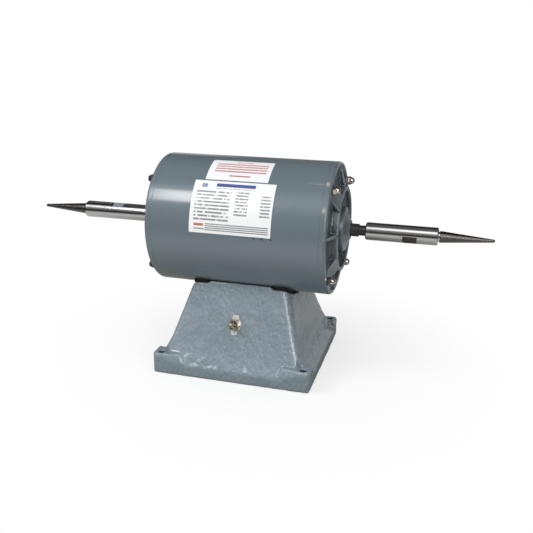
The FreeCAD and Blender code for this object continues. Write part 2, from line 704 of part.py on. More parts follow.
def weld_nuts():
    nuts = []
    for x, angle in motor_bolt_places():
        base = front_point(x, SHELL_INNER - WELD_NUT_HEIGHT - 0.5)
        nut = hexagon(WELD_NUT_ACROSS, WELD_NUT_HEIGHT + 1, base, FRONT)
        nut = at_angle(nut, angle).common(rod(-THROUGH, THROUGH, SHELL_INNER))
        nuts.append(nut.cut(radial_rod(x, STATOR_BORE, THROUGH, MOTOR_BOLT_RADIUS, angle)))
    return Part.makeCompound(nuts)


def lead_grommet():
    """Rubber grommet lining the lead hole from the shell to the chamber."""
    x = LEAD_HOLE_X
    body = radial_rod(x, SHELL_INNER - GROMMET_LIP, WEB_UNDER_RADIUS + GROMMET_LIP, LEAD_HOLE_RADIUS, -90)
    lower = radial_rod(x, WEB_UNDER_RADIUS, WEB_UNDER_RADIUS + GROMMET_LIP, GROMMET_FLANGE, -90)
    upper = radial_rod(x, SHELL_INNER - GROMMET_LIP, SHELL_INNER + 1, GROMMET_FLANGE, -90)
    upper = upper.common(rod(-THROUGH, THROUGH, SHELL_INNER))
    return body.fuse([lower, upper]).cut(radial_rod(x, STATOR_BORE, THROUGH, GROMMET_BORE, -90))


# ---- cord inlet bushing ----
def cord_bushing():
    point, out = cord_frame()
    length = PEDESTAL_WALL + CORD_NUT_THICKNESS + CORD_THREAD_END
    body = Part.makeCylinder(CORD_BODY_RADIUS, length, point - out * length, out)
    flange = Part.makeCylinder(CORD_FLANGE_RADIUS, CORD_FLANGE_THICKNESS, point, out)
    boot_base = point + out * CORD_FLANGE_THICKNESS
    boot = Part.makeCone(CORD_BOOT_BASE, CORD_BOOT_TIP, CORD_BOOT_LENGTH, boot_base, out)
    return body.fuse([flange, boot]).cut(hole_through(point, out, CORD_BORE))


def cord_nut():
    point, out = cord_frame()
    face = point - out * (PEDESTAL_WALL - CORD_POCKET_DEPTH)
    nut = hexagon(CORD_NUT_ACROSS, CORD_NUT_THICKNESS, face, out * -1)
    return nut.cut(hole_through(point, out, CORD_BODY_RADIUS))


# ---- toggle switch ----
def up_the_front():
    """Direction up the sloping front face."""
    tilt = math.radians(FRONT_TILT)
    return Vector(0, math.sin(tilt), math.cos(tilt))


def on_switch(offset):
    point, out = switch_frame()
    return point + out * offset


def panel_inside():
    """Depth of the machined pocket floor behind the switch."""
    return -PANEL_THICKNESS


def switch_box(width, height, depth, front):
    """Box square to the switch axis whose front lies at one depth."""
    box = block(-width / 2, width / 2, -height / 2, height / 2, -depth, 0)
    box.Placement = FreeCAD.Placement(on_switch(front), FreeCAD.Rotation(X_AXIS, 90 - FRONT_TILT))
    return box


def toggle_body():
    front = panel_inside() - LOCK_WASHER_PANEL
    box = switch_box(SWITCH_BODY_WIDTH, SWITCH_BODY_HEIGHT, SWITCH_BODY_DEPTH, front)
    return box.makeFillet(SWITCH_BODY_EDGE, box.Edges)


def toggle_bushing():
    out = switch_frame()[1]
    start = panel_inside() - LOCK_WASHER_PANEL
    sleeve = Part.makeCylinder(BUSHING_RADIUS, BUSHING_LENGTH - start, on_switch(start), out)
    bore = Part.makeCylinder(BUSHING_BORE, BUSHING_LENGTH, on_switch(LEVER_PIVOT), out)
    mouth_base = on_switch(BUSHING_LENGTH - BUSHING_MOUTH_DEPTH)
    mouth = Part.makeCone(BUSHING_BORE, BUSHING_BORE + BUSHING_MOUTH, BUSHING_MOUTH_DEPTH, mouth_base, out)
    socket = Part.makeSphere(LEVER_BALL_RADIUS + LEVER_BALL_GAP, on_switch(LEVER_PIVOT))
    sleeve = sleeve.cut([bore, mouth, socket])
    for i in range(THREAD_GROOVE_COUNT):
        base = on_switch(THREAD_GROOVE_START + i * THREAD_GROOVE_STEP)
        ring = Part.makeCylinder(BUSHING_RADIUS + 1, THREAD_GROOVE_WIDTH, base, out)
        core = Part.makeCylinder(BUSHING_RADIUS - THREAD_GROOVE_DEPTH, THREAD_GROOVE_WIDTH, base, out)
        sleeve = sleeve.cut(ring.cut(core))
    return sleeve


def toggle_lock_washer():
    out = switch_frame()[1]
    base = on_switch(panel_inside() - LOCK_WASHER_PANEL)
    disc = Part.makeCylinder(TAG_RING + 1, LOCK_WASHER_PANEL, base, out)
    return disc.cut(hole_through(base, out, BUSHING_RADIUS))


def switch_tag():
    """Indicator plate under the nut, with one tab above and one below."""
    out = switch_frame()[1]
    ring = Part.makeCylinder(TAG_RING, TAG_THICKNESS, Vector(0, 0, 0))
    tabs = block(-TAG_WIDTH / 2, TAG_WIDTH / 2, -TAG_LENGTH / 2, TAG_LENGTH / 2, 0, TAG_THICKNESS)
    upright = [e for e in tabs.Edges if e.BoundBox.ZLength > TAG_THICKNESS - 0.01]
    tabs = tabs.makeFillet(TAG_CORNER, upright)
    tag = ring.fuse(tabs).removeSplitter()
    tag = tag.cut(Part.makeCylinder(BUSHING_RADIUS + BUSHING_CLEARANCE, TAG_THICKNESS, Vector(0, 0, 0)))
    tag.Placement = FreeCAD.Placement(on_switch(0), FreeCAD.Rotation(X_AXIS, up_the_front(), out, "XYZ"))
    return tag


def toggle_nut():
    out = switch_frame()[1]
    base = on_switch(TAG_THICKNESS)
    nut = hexagon(SWITCH_NUT_ACROSS, SWITCH_NUT_THICKNESS, base, out)
    corner = SWITCH_NUT_ACROSS / math.sqrt(3) - 0.3 * SWITCH_NUT_CROWN
    dome = Part.makeCone(corner + SWITCH_NUT_CROWN, corner, SWITCH_NUT_THICKNESS, base, out)
    return nut.common(dome).cut(hole_through(base, out, BUSHING_RADIUS))


def toggle_lever():
    """Bat lever standing straight out of the bushing, its middle position."""
    out = switch_frame()[1]
    pivot = on_switch(LEVER_PIVOT)
    ball = Part.makeSphere(LEVER_BALL_RADIUS, pivot)
    tip = pivot + out * (LEVER_REACH - LEVER_TIP_RADIUS)
    shank = Part.makeCone(LEVER_NECK_RADIUS, LEVER_TIP_RADIUS, LEVER_REACH - LEVER_TIP_RADIUS, pivot, out)
    half_pin = LEVER_BALL_RADIUS + LEVER_BALL_GAP / 2
    pin = Part.makeCylinder(LEVER_PIN_RADIUS, 2 * half_pin, pivot - X_AXIS * half_pin, X_AXIS)
    return ball.fuse([shank, Part.makeSphere(LEVER_TIP_RADIUS, tip), pin])


def toggle_terminals():
    out = switch_frame()[1]
    up = up_the_front()
    width = TERMINAL_WIDTH / 2
    depth = TERMINAL_THICKNESS / 2
    blades = []
    back = panel_inside() - LOCK_WASHER_PANEL - SWITCH_BODY_DEPTH
    for column in (-1, 1):
        for row in (-1, 0, 1):
            blade = block(-width, width, -depth, depth, 0, TERMINAL_LENGTH)
            eye = Vector(0, -width, TERMINAL_LENGTH - width)
            blade = blade.cut(Part.makeCylinder(TERMINAL_EYE, TERMINAL_WIDTH, eye, FRONT * -1))
            blade.Placement = FreeCAD.Placement(
                on_switch(back) + up * (row * TERMINAL_ROW) + X_AXIS * (column * TERMINAL_COLUMN),
                FreeCAD.Rotation(X_AXIS, up, out * -1, "ZXY"),
            )
            blades.append(blade)
    return Part.makeCompound(blades)


# ---- motor housing ----
def motor_shell():
    shell = tube(-SHELL_HALF_LENGTH, SHELL_HALF_LENGTH, SHELL_RADIUS, SHELL_INNER)
    cuts = [radial_rod(LEAD_HOLE_X, SLOT_OUTER, THROUGH, LEAD_HOLE_RADIUS, -90)]
    for x, angle in motor_bolt_places():
        cuts.append(radial_rod(x, SLOT_OUTER, THROUGH, MOTOR_BOLT_RADIUS + MOTOR_BOLT_CLEARANCE / 2, angle))
    for x in RIVET_X:
        cuts.append(radial_rod(x, SLOT_OUTER, THROUGH, RIVET_SHANK, RIVET_ANGLE))
    return shell.cut(cuts)


def shell_rivets():
    rivets = []
    for x in RIVET_X:
        pin = radial_rod(x, SHELL_INNER, SHELL_RADIUS + RIVET_HEIGHT, RIVET_SHANK, RIVET_ANGLE)
        head = radial_rod(x, SHELL_RADIUS - 0.2, SHELL_RADIUS + RIVET_HEIGHT, RIVET_RADIUS, RIVET_ANGLE)
        rivets.append(pin.fuse(head.cut(rod(-THROUGH, THROUGH, SHELL_RADIUS))))
    return Part.makeCompound(rivets)


def shell_plate(x_range, angle_range):
    """Thin plate wrapped on the shell over an angle."""
    inner = SHELL_RADIUS + LABEL_GLUE
    outer = inner + LABEL_THICKNESS
    section = [
        front_point(x_range[0], inner),
        front_point(x_range[1], inner),
        front_point(x_range[1], outer),
        front_point(x_range[0], outer),
    ]
    face = Part.Face(Part.makePolygon(section + [section[0]]))
    swept = face.revolve(AXIS_POINT, X_AXIS, -(angle_range[1] - angle_range[0]))
    return at_angle(swept, angle_range[0])


def bolt_angles():
    return [BOLT_ANGLE + 360.0 / BOLT_COUNT * i for i in range(BOLT_COUNT)]


def bell_profile():
    """Half section of the end bell: spigot, rim, cone floor, ring and hub."""
    floor_in = BELL_INNER_FLOOR_X
    return [
        (SHELL_HALF_LENGTH - BELL_SPIGOT, SHELL_INNER),
        (SHELL_HALF_LENGTH, SHELL_INNER),
        (SHELL_HALF_LENGTH, SHELL_RADIUS),
        (RIM_X - BELL_EDGE, SHELL_RADIUS),
        (RIM_X - BELL_EDGE * 0.62, SHELL_RADIUS - BELL_EDGE * 0.08),
        (RIM_X - BELL_EDGE * 0.29, SHELL_RADIUS - BELL_EDGE * 0.29),
        (RIM_X - BELL_EDGE * 0.08, SHELL_RADIUS - BELL_EDGE * 0.62),
        (RIM_X, SHELL_RADIUS - BELL_EDGE),
        (RIM_X, SHELL_RADIUS - BELL_RIM_WALL),
        (BELL_FLOOR_RIM_X + BELL_FLOOR, SHELL_RADIUS - BELL_RIM_WALL - 1.5),
        (BELL_FLOOR_RIM_X + BELL_FLOOR + 1.5, BELL_RING_OUTER + 1.0),
        (BELL_RING_X - 0.8, BELL_RING_OUTER),
        (BELL_RING_X, BELL_RING_OUTER - 0.8),
        (BELL_RING_X, BELL_RING_OUTER - BELL_RING_WALL + 0.6),
        (BELL_RING_X - 0.6, BELL_RING_OUTER - BELL_RING_WALL),
        (floor_in + 0.8, BELL_RING_OUTER - BELL_RING_WALL - 1.2),
        (floor_in + 2.0, BELL_HUB_RADIUS + 1.5),
        (BELL_HUB_EDGE_X - 0.8, BELL_HUB_RADIUS),
        (BELL_HUB_EDGE_X, BELL_HUB_RADIUS - 1.0),
        (BELL_HUB_X - BELL_HUB_COLLAR, SHAFT_RADIUS + BELL_HUB_WALL + 1.5),
        (BELL_HUB_X - 0.7, SHAFT_RADIUS + BELL_HUB_WALL),
        (BELL_HUB_X, SHAFT_RADIUS + BELL_HUB_WALL - 0.7),
        (BELL_HUB_X, SHAFT_RADIUS + HUB_SHAFT_CLEARANCE),
        (bearing_outer_x() + WAVE_WASHER_HEIGHT, SHAFT_RADIUS + HUB_SHAFT_CLEARANCE),
        (bearing_outer_x() + WAVE_WASHER_HEIGHT, BEARING_OUTER),
        (BEARING_X - 3.0, BEARING_OUTER),
        (BEARING_X - 3.0, BEARING_OUTER + 4.0),
        (floor_in - BELL_FLOOR, BELL_HUB_RADIUS + 3.0),
        (BELL_FLOOR_RIM_X - 2.0, BELL_RING_OUTER),
        (BELL_FLOOR_RIM_X - 2.5, SHELL_INNER - 2 * BELL_SPIGOT_WALL),
        (SHELL_HALF_LENGTH - BELL_SPIGOT, SHELL_INNER - BELL_SPIGOT_WALL),
    ]


def bearing_outer_x():
    return BEARING_X + BEARING_WIDTH


def bell_rib(angle):
    """Thin gusset from the rim up to the raised ring."""
    z0 = AXIS_HEIGHT - BELL_RIB / 2
    points = [
        Vector(BELL_FLOOR_RIM_X, -SHELL_RADIUS + 3.0, z0),
        Vector(RIM_X - 0.2, -SHELL_RADIUS + 3.0, z0),
        Vector(BELL_RING_X - 1.5, -BELL_RING_OUTER + 0.5, z0),
        Vector(BELL_FLOOR_RIM_X, -BELL_RING_OUTER + 0.5, z0),
    ]
    rib = Part.Face(Part.makePolygon(points + [points[0]])).extrude(Vector(0, 0, BELL_RIB))
    return at_angle(rib, angle)


def bell_arm(angle):
    """Wide arm carrying a through-bolt boss, from the rim to the ring."""
    wide = BELL_ARM / 2
    half_ring = wide + BELL_ARM_SPREAD
    points = [
        Vector(BELL_FLOOR_RIM_X, -BELL_RING_OUTER + 0.8, AXIS_HEIGHT - half_ring),
        Vector(BELL_FLOOR_RIM_X, -BELL_RING_OUTER + 0.8, AXIS_HEIGHT + half_ring),
        Vector(BELL_FLOOR_RIM_X, -SHELL_RADIUS - 2, AXIS_HEIGHT + wide),
        Vector(BELL_FLOOR_RIM_X, -SHELL_RADIUS - 2, AXIS_HEIGHT - wide),
    ]
    outline = Part.Face(Part.makePolygon(points + [points[0]]))
    arm = outline.extrude(Vector(BELL_RING_X - BELL_FLOOR_RIM_X, 0, 0))
    top = BELL_RING_X - BELL_ARM_DROP
    above = BELL_RING_X + BELL_RIM
    outside = -SHELL_RADIUS - BELL_RIM
    inside = -BELL_RING_OUTER + BELL_RING_WALL + 1.0
    wedge = [
        Vector(RIM_X, outside, 0),
        Vector(RIM_X, -BOLT_CIRCLE + BELL_SEAT_REACH, 0),
        Vector(top, -BELL_RING_OUTER - 1.0, 0),
        Vector(top, inside, 0),
        Vector(above, inside, 0),
        Vector(above, outside, 0),
    ]
    remove = Part.Face(Part.makePolygon(wedge + [wedge[0]])).extrude(Vector(0, 0, 2 * AXIS_HEIGHT))
    arm = arm.cut(remove)
    limit = turned([
        (BELL_FLOOR_RIM_X, BELL_RING_OUTER - 2),
        (BELL_FLOOR_RIM_X, SHELL_RADIUS - 0.4),
        (RIM_X - BELL_EDGE, SHELL_RADIUS - 0.4),
        (RIM_X, SHELL_RADIUS - BELL_EDGE),
        (BELL_RING_X, SHELL_RADIUS - BELL_EDGE),
        (BELL_RING_X, BELL_RING_OUTER - 2),
    ])
    return at_angle(arm.common(limit), angle)


def vent(angle):
    """One ventilation opening between two spokes of the inner floor."""
    x0 = BELL_INNER_FLOOR_X - 2 * BELL_FLOOR
    x1 = BELL_INNER_FLOOR_X + BELL_FLOOR
    ring = tube(x0, x1, VENT_OUTER, VENT_INNER)
    span = 180.0 / VENT_COUNT
    half = THROUGH * math.tan(math.radians(span))
    points = [
        Vector(x0, 0, AXIS_HEIGHT),
        Vector(x0, -THROUGH, AXIS_HEIGHT - half),
        Vector(x0, -THROUGH, AXIS_HEIGHT + half),
    ]
    wedge = Part.Face(Part.makePolygon(points + [points[0]])).extrude(Vector(x1 - x0, 0, 0))
    shift = VENT_SPOKE / 2 / math.sin(math.radians(span))
    wedge.translate(Vector(0, -shift, 0))
    return at_angle(ring.common(wedge), angle)


def end_bell(side):
    arms = [bell_arm(angle) for angle in bolt_angles()]
    ribs = [bell_rib(BELL_RIB_ANGLE + 360.0 / BELL_RIB_COUNT * i) for i in range(BELL_RIB_COUNT)]
    bell = turned(bell_profile()).fuse(arms + ribs)
    pitch = 360.0 / VENT_COUNT
    cuts = [vent(BOLT_ANGLE + pitch * (i + 0.5)) for i in range(VENT_COUNT)]
    for angle in bolt_angles():
        hole = Part.makeCylinder(BOLT_HOLE, THROUGH, front_point(CORE_HALF_LENGTH, BOLT_CIRCLE), X_AXIS)
        cuts.append(at_angle(hole, angle))
        groove = block(
            SHELL_HALF_LENGTH - BELL_SPIGOT - 1, SHELL_HALF_LENGTH - 1.0,
            -SHELL_RADIUS, -BOLT_CIRCLE, AXIS_HEIGHT - BOLT_HOLE, AXIS_HEIGHT + BOLT_HOLE,
        )
        cuts.append(at_angle(groove, angle))
    return mirrored(bell.cut(cuts), side)


def at_bolts(shape):
    return Part.makeCompound([at_angle(shape, angle) for angle in bolt_angles()])


def through_bolts():
    tip = RIM_X + LOCK_WASHER_THICKNESS + ACORN_HEX
    shank = Part.makeCylinder(BOLT_RADIUS, RIM_X + tip, front_point(-RIM_X, BOLT_CIRCLE), X_AXIS)
    base = front_point(-RIM_X - LOCK_WASHER_THICKNESS, BOLT_CIRCLE)
    stub = Part.makeCylinder(BOLT_RADIUS, LOCK_WASHER_THICKNESS, base, X_AXIS)
    head = hexagon(BOLT_HEAD_ACROSS, BOLT_HEAD_HEIGHT, base, X_AXIS * -1)
    half = BOLT_HEAD_ACROSS / 2 - 0.2 * BOLT_HEAD_CROWN
    crown = Part.makeCone(half + BOLT_HEAD_CROWN, half, BOLT_HEAD_HEIGHT, base, X_AXIS * -1)
    return at_bolts(shank.fuse([stub, head.common(crown)]))


def lock_washers():
    """Washers under the nuts on the right and under the heads on the left."""
    thickness = LOCK_WASHER_THICKNESS
    washers = []
    for x0 in (RIM_X, -RIM_X - thickness):
        base = front_point(x0, BOLT_CIRCLE)
        ring = Part.makeCylinder(LOCK_WASHER_RADIUS, thickness, base, X_AXIS)
        washers.append(at_bolts(ring.cut(Part.makeCylinder(BOLT_RADIUS, thickness, base, X_AXIS))))
    return Part.makeCompound(washers)


def acorn_nuts():
    """Domed cap nuts on the right-hand ends of the through bolts."""
    start = RIM_X + LOCK_WASHER_THICKNESS
    base = front_point(start, BOLT_CIRCLE)
    hexa = hexagon(ACORN_ACROSS, ACORN_HEX, base, X_AXIS)
    cone = Part.makeCone(ACORN_ACROSS / 2 + ACORN_CROWN, ACORN_ACROSS / 2, ACORN_HEX, base, X_AXIS)
    dome = Part.makeSphere(ACORN_DOME, front_point(start + ACORN_HEX, BOLT_CIRCLE))
    below = front_point(start + ACORN_HEX - 0.1 * ACORN_DOME, BOLT_CIRCLE)
    outer_half = Part.makeCylinder(ACORN_DOME, 2 * ACORN_DOME, below, X_AXIS)
    nut = hexa.common(cone).fuse(dome.common(outer_half))
    return at_bolts(nut.cut(Part.makeCylinder(BOLT_RADIUS, ACORN_HEX, base, X_AXIS)))


# ---- bearings ----
def bearing_middle():
    return BEARING_X + BEARING_WIDTH / 2


def ball_track():
    """Torus that the grooves of both rings follow."""
    track = Part.makeTorus(BALL_CIRCLE, BALL_RADIUS + RACE_CLEARANCE, Vector(0, 0, 0), X_AXIS)
    track.translate(Vector(bearing_middle(), 0, AXIS_HEIGHT))
    return track


def bearing_inner(side):
    ring = tube(BEARING_X, bearing_outer_x(), INNER_RING_OUTER, BEARING_BORE)
    return mirrored(ring.cut(ball_track()), side)


def bearing_outer(side):
    ring = tube(BEARING_X, bearing_outer_x(), BEARING_OUTER, OUTER_RING_INNER)
    return mirrored(ring.cut(ball_track()), side)


def ball(index):
    centre = front_point(bearing_middle(), BALL_CIRCLE)
    return at_angle(Part.makeSphere(BALL_RADIUS, centre), index * 360.0 / BALL_COUNT)


def bearing_balls(side):
    return mirrored(Part.makeCompound([ball(i) for i in range(BALL_COUNT)]), side)


def bearing_cage(side):
    half = CAGE_THICKNESS / 2
    middle = bearing_middle()
    ring = tube(middle - CAGE_WIDTH / 2, middle + CAGE_WIDTH / 2, BALL_CIRCLE + half, BALL_CIRCLE - half)
    pockets = []
    for i in range(BALL_COUNT):
        centre = front_point(middle, BALL_CIRCLE)
        pocket = Part.makeSphere(BALL_RADIUS + CAGE_POCKET_GAP, centre)
        pockets.append(at_angle(pocket, i * 360.0 / BALL_COUNT))
    return mirrored(ring.cut(pockets), side)


def wave_washer():
    """Spring washer that preloads the right-hand outer ring."""
    x0 = bearing_outer_x()
    t = WAVE_WASHER_THICKNESS
    x1 = x0 + WAVE_WASHER_HEIGHT
    outer = BEARING_OUTER - SEAT_GAP
    return turned([(x0, outer), (x0 + t, outer), (x1, SEAT_SHOULDER), (x1 - t, SEAT_SHOULDER)])


def bearing_shim():
    """Flat ring that seats the left-hand outer ring in its hub."""
    x0 = bearing_outer_x()
    return mirrored(tube(x0, x0 + WAVE_WASHER_HEIGHT, BEARING_OUTER - SEAT_GAP, SEAT_SHOULDER), -1)


# ---- stator ----
def slot_bar(r0, r1, x0, x1, width, angle):
    bar = block(x0, x1, -r1, -r0, AXIS_HEIGHT - width / 2, AXIS_HEIGHT + width / 2)
    return at_angle(bar, angle)


def stator_core():
    core = tube(-CORE_HALF_LENGTH, CORE_HALF_LENGTH, SHELL_INNER, STATOR_BORE)
    cuts = []
    for i in range(SLOT_COUNT):
        angle = i * 360.0 / SLOT_COUNT
        cuts.append(slot_bar(SLOT_INNER, SLOT_OUTER, -THROUGH, THROUGH, SLOT_WIDTH, angle))
        cuts.append(slot_bar(STATOR_BORE - 2, SLOT_INNER + 1, -THROUGH, THROUGH, SLOT_OPENING, angle))
    half = BOLT_GROOVE
    for angle in bolt_angles():
        cuts.append(slot_bar(BOLT_CIRCLE - half, SHELL_RADIUS, -THROUGH, THROUGH, 2 * half, angle))
    return core.cut(cuts)


def end_turns(inner, outer, side):
    """Bundled end turns on one end of the core, rounded off at the corners."""
    middle = (inner + outer) / 2
    x0 = END_TURN_START
    x1 = END_TURN_END
    r = END_TURN_ROUND
    ring = turned([
        (x0, inner + 0.25 * r), (x0, outer - 0.25 * r), (x0 + 0.75 * r, outer), (x1 - r, outer - 0.1 * r),
        (x1, middle + 0.4 * r), (x1, middle - 0.4 * r), (x1 - r, inner), (x0 + 0.75 * r, inner),
    ])
    return mirrored(ring, side)


def winding(inner, outer, bar_inner, bar_outer, step):
    """Coil sides in the slots, joined by the end turns on both ends."""
    width = SLOT_WIDTH - 2 * SLOT_LINER
    reach = END_TURN_START + 0.5 * END_TURN_ROUND
    bars = []
    for i in range(0, SLOT_COUNT, step):
        bars.append(slot_bar(bar_inner, bar_outer, -reach, reach, width, i * 360.0 / SLOT_COUNT))
    rings = [end_turns(inner, outer, side) for side, _ in SIDES]
    return rings[0].fuse([rings[1]] + bars)


def main_winding():
    return winding(MAIN_RING_INNER, MAIN_RING_OUTER, MAIN_RING_INNER + 0.5, SLOT_OUTER - SLOT_LINER, 1)


def start_winding():
    return winding(START_RING_INNER, START_RING_OUTER, START_RING_INNER + 0.4, START_RING_OUTER - 0.4, 2)


# ---- rotor and shaft ----
def motor_shaft():
    right = turned([
        (0, 0),
        (0, CORE_SHAFT_RADIUS),
        (CORE_SHAFT_HALF, CORE_SHAFT_RADIUS),
        (CORE_SHAFT_HALF, JOURNAL_RADIUS),
        (JOURNAL_END, JOURNAL_RADIUS),
        (JOURNAL_END, SHAFT_RADIUS),
        (SHAFT_SHOULDER - SHAFT_CHAMFER, SHAFT_RADIUS),
        (SHAFT_SHOULDER, SPINDLE_SEAT_RADIUS),
        (SPINDLE_SEAT_END, SPINDLE_SEAT_RADIUS),
        (SPINDLE_SEAT_END, 0),
    ])
    return fuse_all([right, mirrored(right, -1)])


def bearing_spacer(side):
    """Slinger sleeve that seats the inner ring against the shaft shoulder."""
    return mirrored(tube(CORE_SHAFT_HALF, BEARING_X, JOURNAL_RADIUS + SPACER_WALL, JOURNAL_RADIUS), side)


def rotor_core():
    radius = STATOR_BORE - AIR_GAP
    core = tube(-CORE_HALF_LENGTH, CORE_HALF_LENGTH, radius, CORE_SHAFT_RADIUS)
    slots = []
    for i in range(ROTOR_SLOT_COUNT):
        angle = i * 360.0 / ROTOR_SLOT_COUNT
        slots.append(slot_bar(radius - ROTOR_SLOT, STATOR_BORE, -THROUGH, THROUGH, ROTOR_SLOT, angle))
    return core.cut(slots)


def rotor_end_ring(side):
    """Cast aluminium end ring with its fan blades."""
    x0 = CORE_HALF_LENGTH
    ring = tube(x0, x0 + ROTOR_END_RING, ROTOR_RING_OUTER, ROTOR_RING_INNER)
    blades = []
    for i in range(FAN_COUNT):
        blade = slot_bar(
            ROTOR_RING_INNER + 2, ROTOR_RING_OUTER - 1, x0 + 2, x0 + ROTOR_END_RING + FAN_BLADE,
            FAN_THICKNESS, i * 360.0 / FAN_COUNT,
        )
        blades.append(blade)
    return mirrored(ring.fuse(blades), side)


# ---- centrifugal starting gear ----
def governor_plate():
    x0 = GOVERNOR_PLATE_X
    plate = tube(x0 - GOVERNOR_PLATE_THICKNESS, x0, GOVERNOR_PLATE_RADIUS, CORE_SHAFT_RADIUS)
    hub = tube(x0, x0 + GOVERNOR_HUB_LENGTH, CORE_SHAFT_RADIUS + GOVERNOR_HUB_WALL, CORE_SHAFT_RADIUS)
    parts = [hub]
    radius = WEIGHT_PIVOT_RADIUS
    half = GOVERNOR_EAR / 2
    inner = WEIGHT_WIDTH / 2 + GOVERNOR_EAR_GAP
    outer = inner + GOVERNOR_EAR_THICKNESS
    for angle in (0, 180):
        for low, high in ((-outer, -inner), (inner, outer)):
            ear = block(
                x0 - GOVERNOR_EAR_LENGTH, x0, -radius - half, -radius + half,
                AXIS_HEIGHT + low, AXIS_HEIGHT + high,
            )
            parts.append(at_angle(ear, angle))
        base = Vector(WEIGHT_PIVOT_X, -radius, AXIS_HEIGHT - outer)
        pin = Part.makeCylinder(WEIGHT_PIVOT_PIN, 2 * outer, base, Vector(0, 0, 1))
        parts.append(at_angle(pin, angle))
    return plate.fuse(parts)


def governor_weight(angle):
    """Bob weight on a pivot pin, with a short finger that pushes the collar."""
    px = WEIGHT_PIVOT_X
    pr = WEIGHT_PIVOT_RADIUS
    up = Vector(0, 0, 1)
    z0 = AXIS_HEIGHT - WEIGHT_WIDTH / 2
    eye = Part.makeCylinder(WEIGHT_EYE, WEIGHT_WIDTH, Vector(px, -pr, z0), up)
    bob = block(px - WEIGHT_LENGTH, px, -pr - WEIGHT_EYE, -pr + WEIGHT_TOP, z0, z0 + WEIGHT_WIDTH)
    half = FINGER_WIDTH / 2
    low = AXIS_HEIGHT - half
    finger = block(px - FINGER_HALF, px + 1, -pr, -pr + FINGER_REACH, low, low + FINGER_WIDTH)
    bore = Part.makeCylinder(WEIGHT_PIVOT_PIN + SLIDE_FIT, WEIGHT_WIDTH, Vector(px, -pr, z0), up)
    return at_angle(eye.fuse([bob, finger]).cut(bore), angle)


def governor_collar():
    x1 = COLLAR_X
    x0 = x1 - COLLAR_LENGTH
    bore = CORE_SHAFT_RADIUS + SLIDE_FIT
    sleeve = tube(x0, x1, COLLAR_RADIUS, bore)
    return sleeve.fuse(tube(x0, x0 + COLLAR_FLANGE_THICKNESS, COLLAR_FLANGE, bore))


def switch_board():
    """Fixed insulating board beside the governor, screwed to the left bell."""
    x0 = BOARD_X
    ring = tube(x0 - BOARD_THICKNESS, x0, BOARD_OUTER, BOARD_INNER)
    foot = AXIS_HEIGHT + BOARD_FOOT
    upper = block(x0 - THROUGH, x0 + THROUGH, -THROUGH, THROUGH, foot, foot + THROUGH)
    board = ring.common(upper)
    posts = []
    for angle in (BOLT_ANGLE, BOLT_ANGLE + 90):
        base = front_point(x0 - BOARD_THICKNESS, BOARD_POST_CIRCLE)
        post = Part.makeCylinder(BOARD_POST_RADIUS, BOARD_POST_LENGTH, base, X_AXIS * -1)
        posts.append(at_angle(post, angle))
    return board.fuse(posts)


def switch_contacts():
    """Leaf spring on a standoff, its foot in the path of the collar flange."""
    back_x = LEAF_X - LEAF_THICKNESS
    half = LEAF_WIDTH / 2
    top = AXIS_HEIGHT + LEAF_TOP_Z
    contact_z = AXIS_HEIGHT + CONTACT_Z
    leaf = block(back_x, LEAF_X, -half, half, AXIS_HEIGHT + LEAF_FOOT_Z, top)
    standoff = block(BOARD_X, back_x, -half, half, top - STANDOFF_HEIGHT, top)
    button = Part.makeCylinder(CONTACT_RADIUS, CONTACT_HEIGHT, Vector(back_x, 0, contact_z), X_AXIS * -1)
    reach = back_x - CONTACT_HEIGHT - CONTACT_GAP - BOARD_X
    fixed = Part.makeCylinder(CONTACT_RADIUS, reach, Vector(BOARD_X, 0, contact_z), X_AXIS)
    return Part.makeCompound([leaf.fuse([standoff, button]), fixed])


# ---- capacitor and leads in the pedestal ----
def capacitor_centre():
    return Vector(0, CAPACITOR_Y, plate_top() + CAPACITOR_RADIUS)


def start_capacitor():
    centre = capacitor_centre()
    end = CAPACITOR_LENGTH / 2
    can = Part.makeCylinder(CAPACITOR_RADIUS, CAPACITOR_LENGTH, centre - X_AXIS * end, X_AXIS)
    can = can.makeFillet(CAPACITOR_EDGE, [e for e in can.Edges if e.BoundBox.XLength < 0.1])
    width = CAPACITOR_TAG_WIDTH / 2
    depth = CAPACITOR_TAG_THICKNESS / 2
    tags = []
    for offset in (-CAPACITOR_TAG_Y, CAPACITOR_TAG_Y):
        y = centre.y + offset
        tag = block(end, end + CAPACITOR_TAG, y - width, y + width, centre.z - depth, centre.z + depth)
        tags.append(tag)
    return can.fuse(tags)


def capacitor_clamp():
    """Strap bent over the can, with a flat foot on each side."""
    centre = capacitor_centre()
    half = CLAMP_WIDTH / 2
    base = plate_top()
    outer = CAPACITOR_RADIUS + CLAMP_THICKNESS
    foot = outer + CLAMP_FOOT
    strap = Part.makeCylinder(outer, CLAMP_WIDTH, centre - X_AXIS * half, X_AXIS)
    legs = block(-half, half, centre.y - outer, centre.y + outer, base, centre.z)
    feet = block(-half, half, centre.y - foot, centre.y + foot, base, base + CLAMP_THICKNESS)
    room = Part.makeCylinder(CAPACITOR_RADIUS, THROUGH, centre - X_AXIS * (THROUGH / 2), X_AXIS)
    below = block(-half, half, centre.y - CAPACITOR_RADIUS, centre.y + CAPACITOR_RADIUS, 0, centre.z)
    under = block(-half, half, centre.y - foot, centre.y + foot, -THROUGH, base)
    return strap.fuse([legs, feet]).cut([room, below, under])


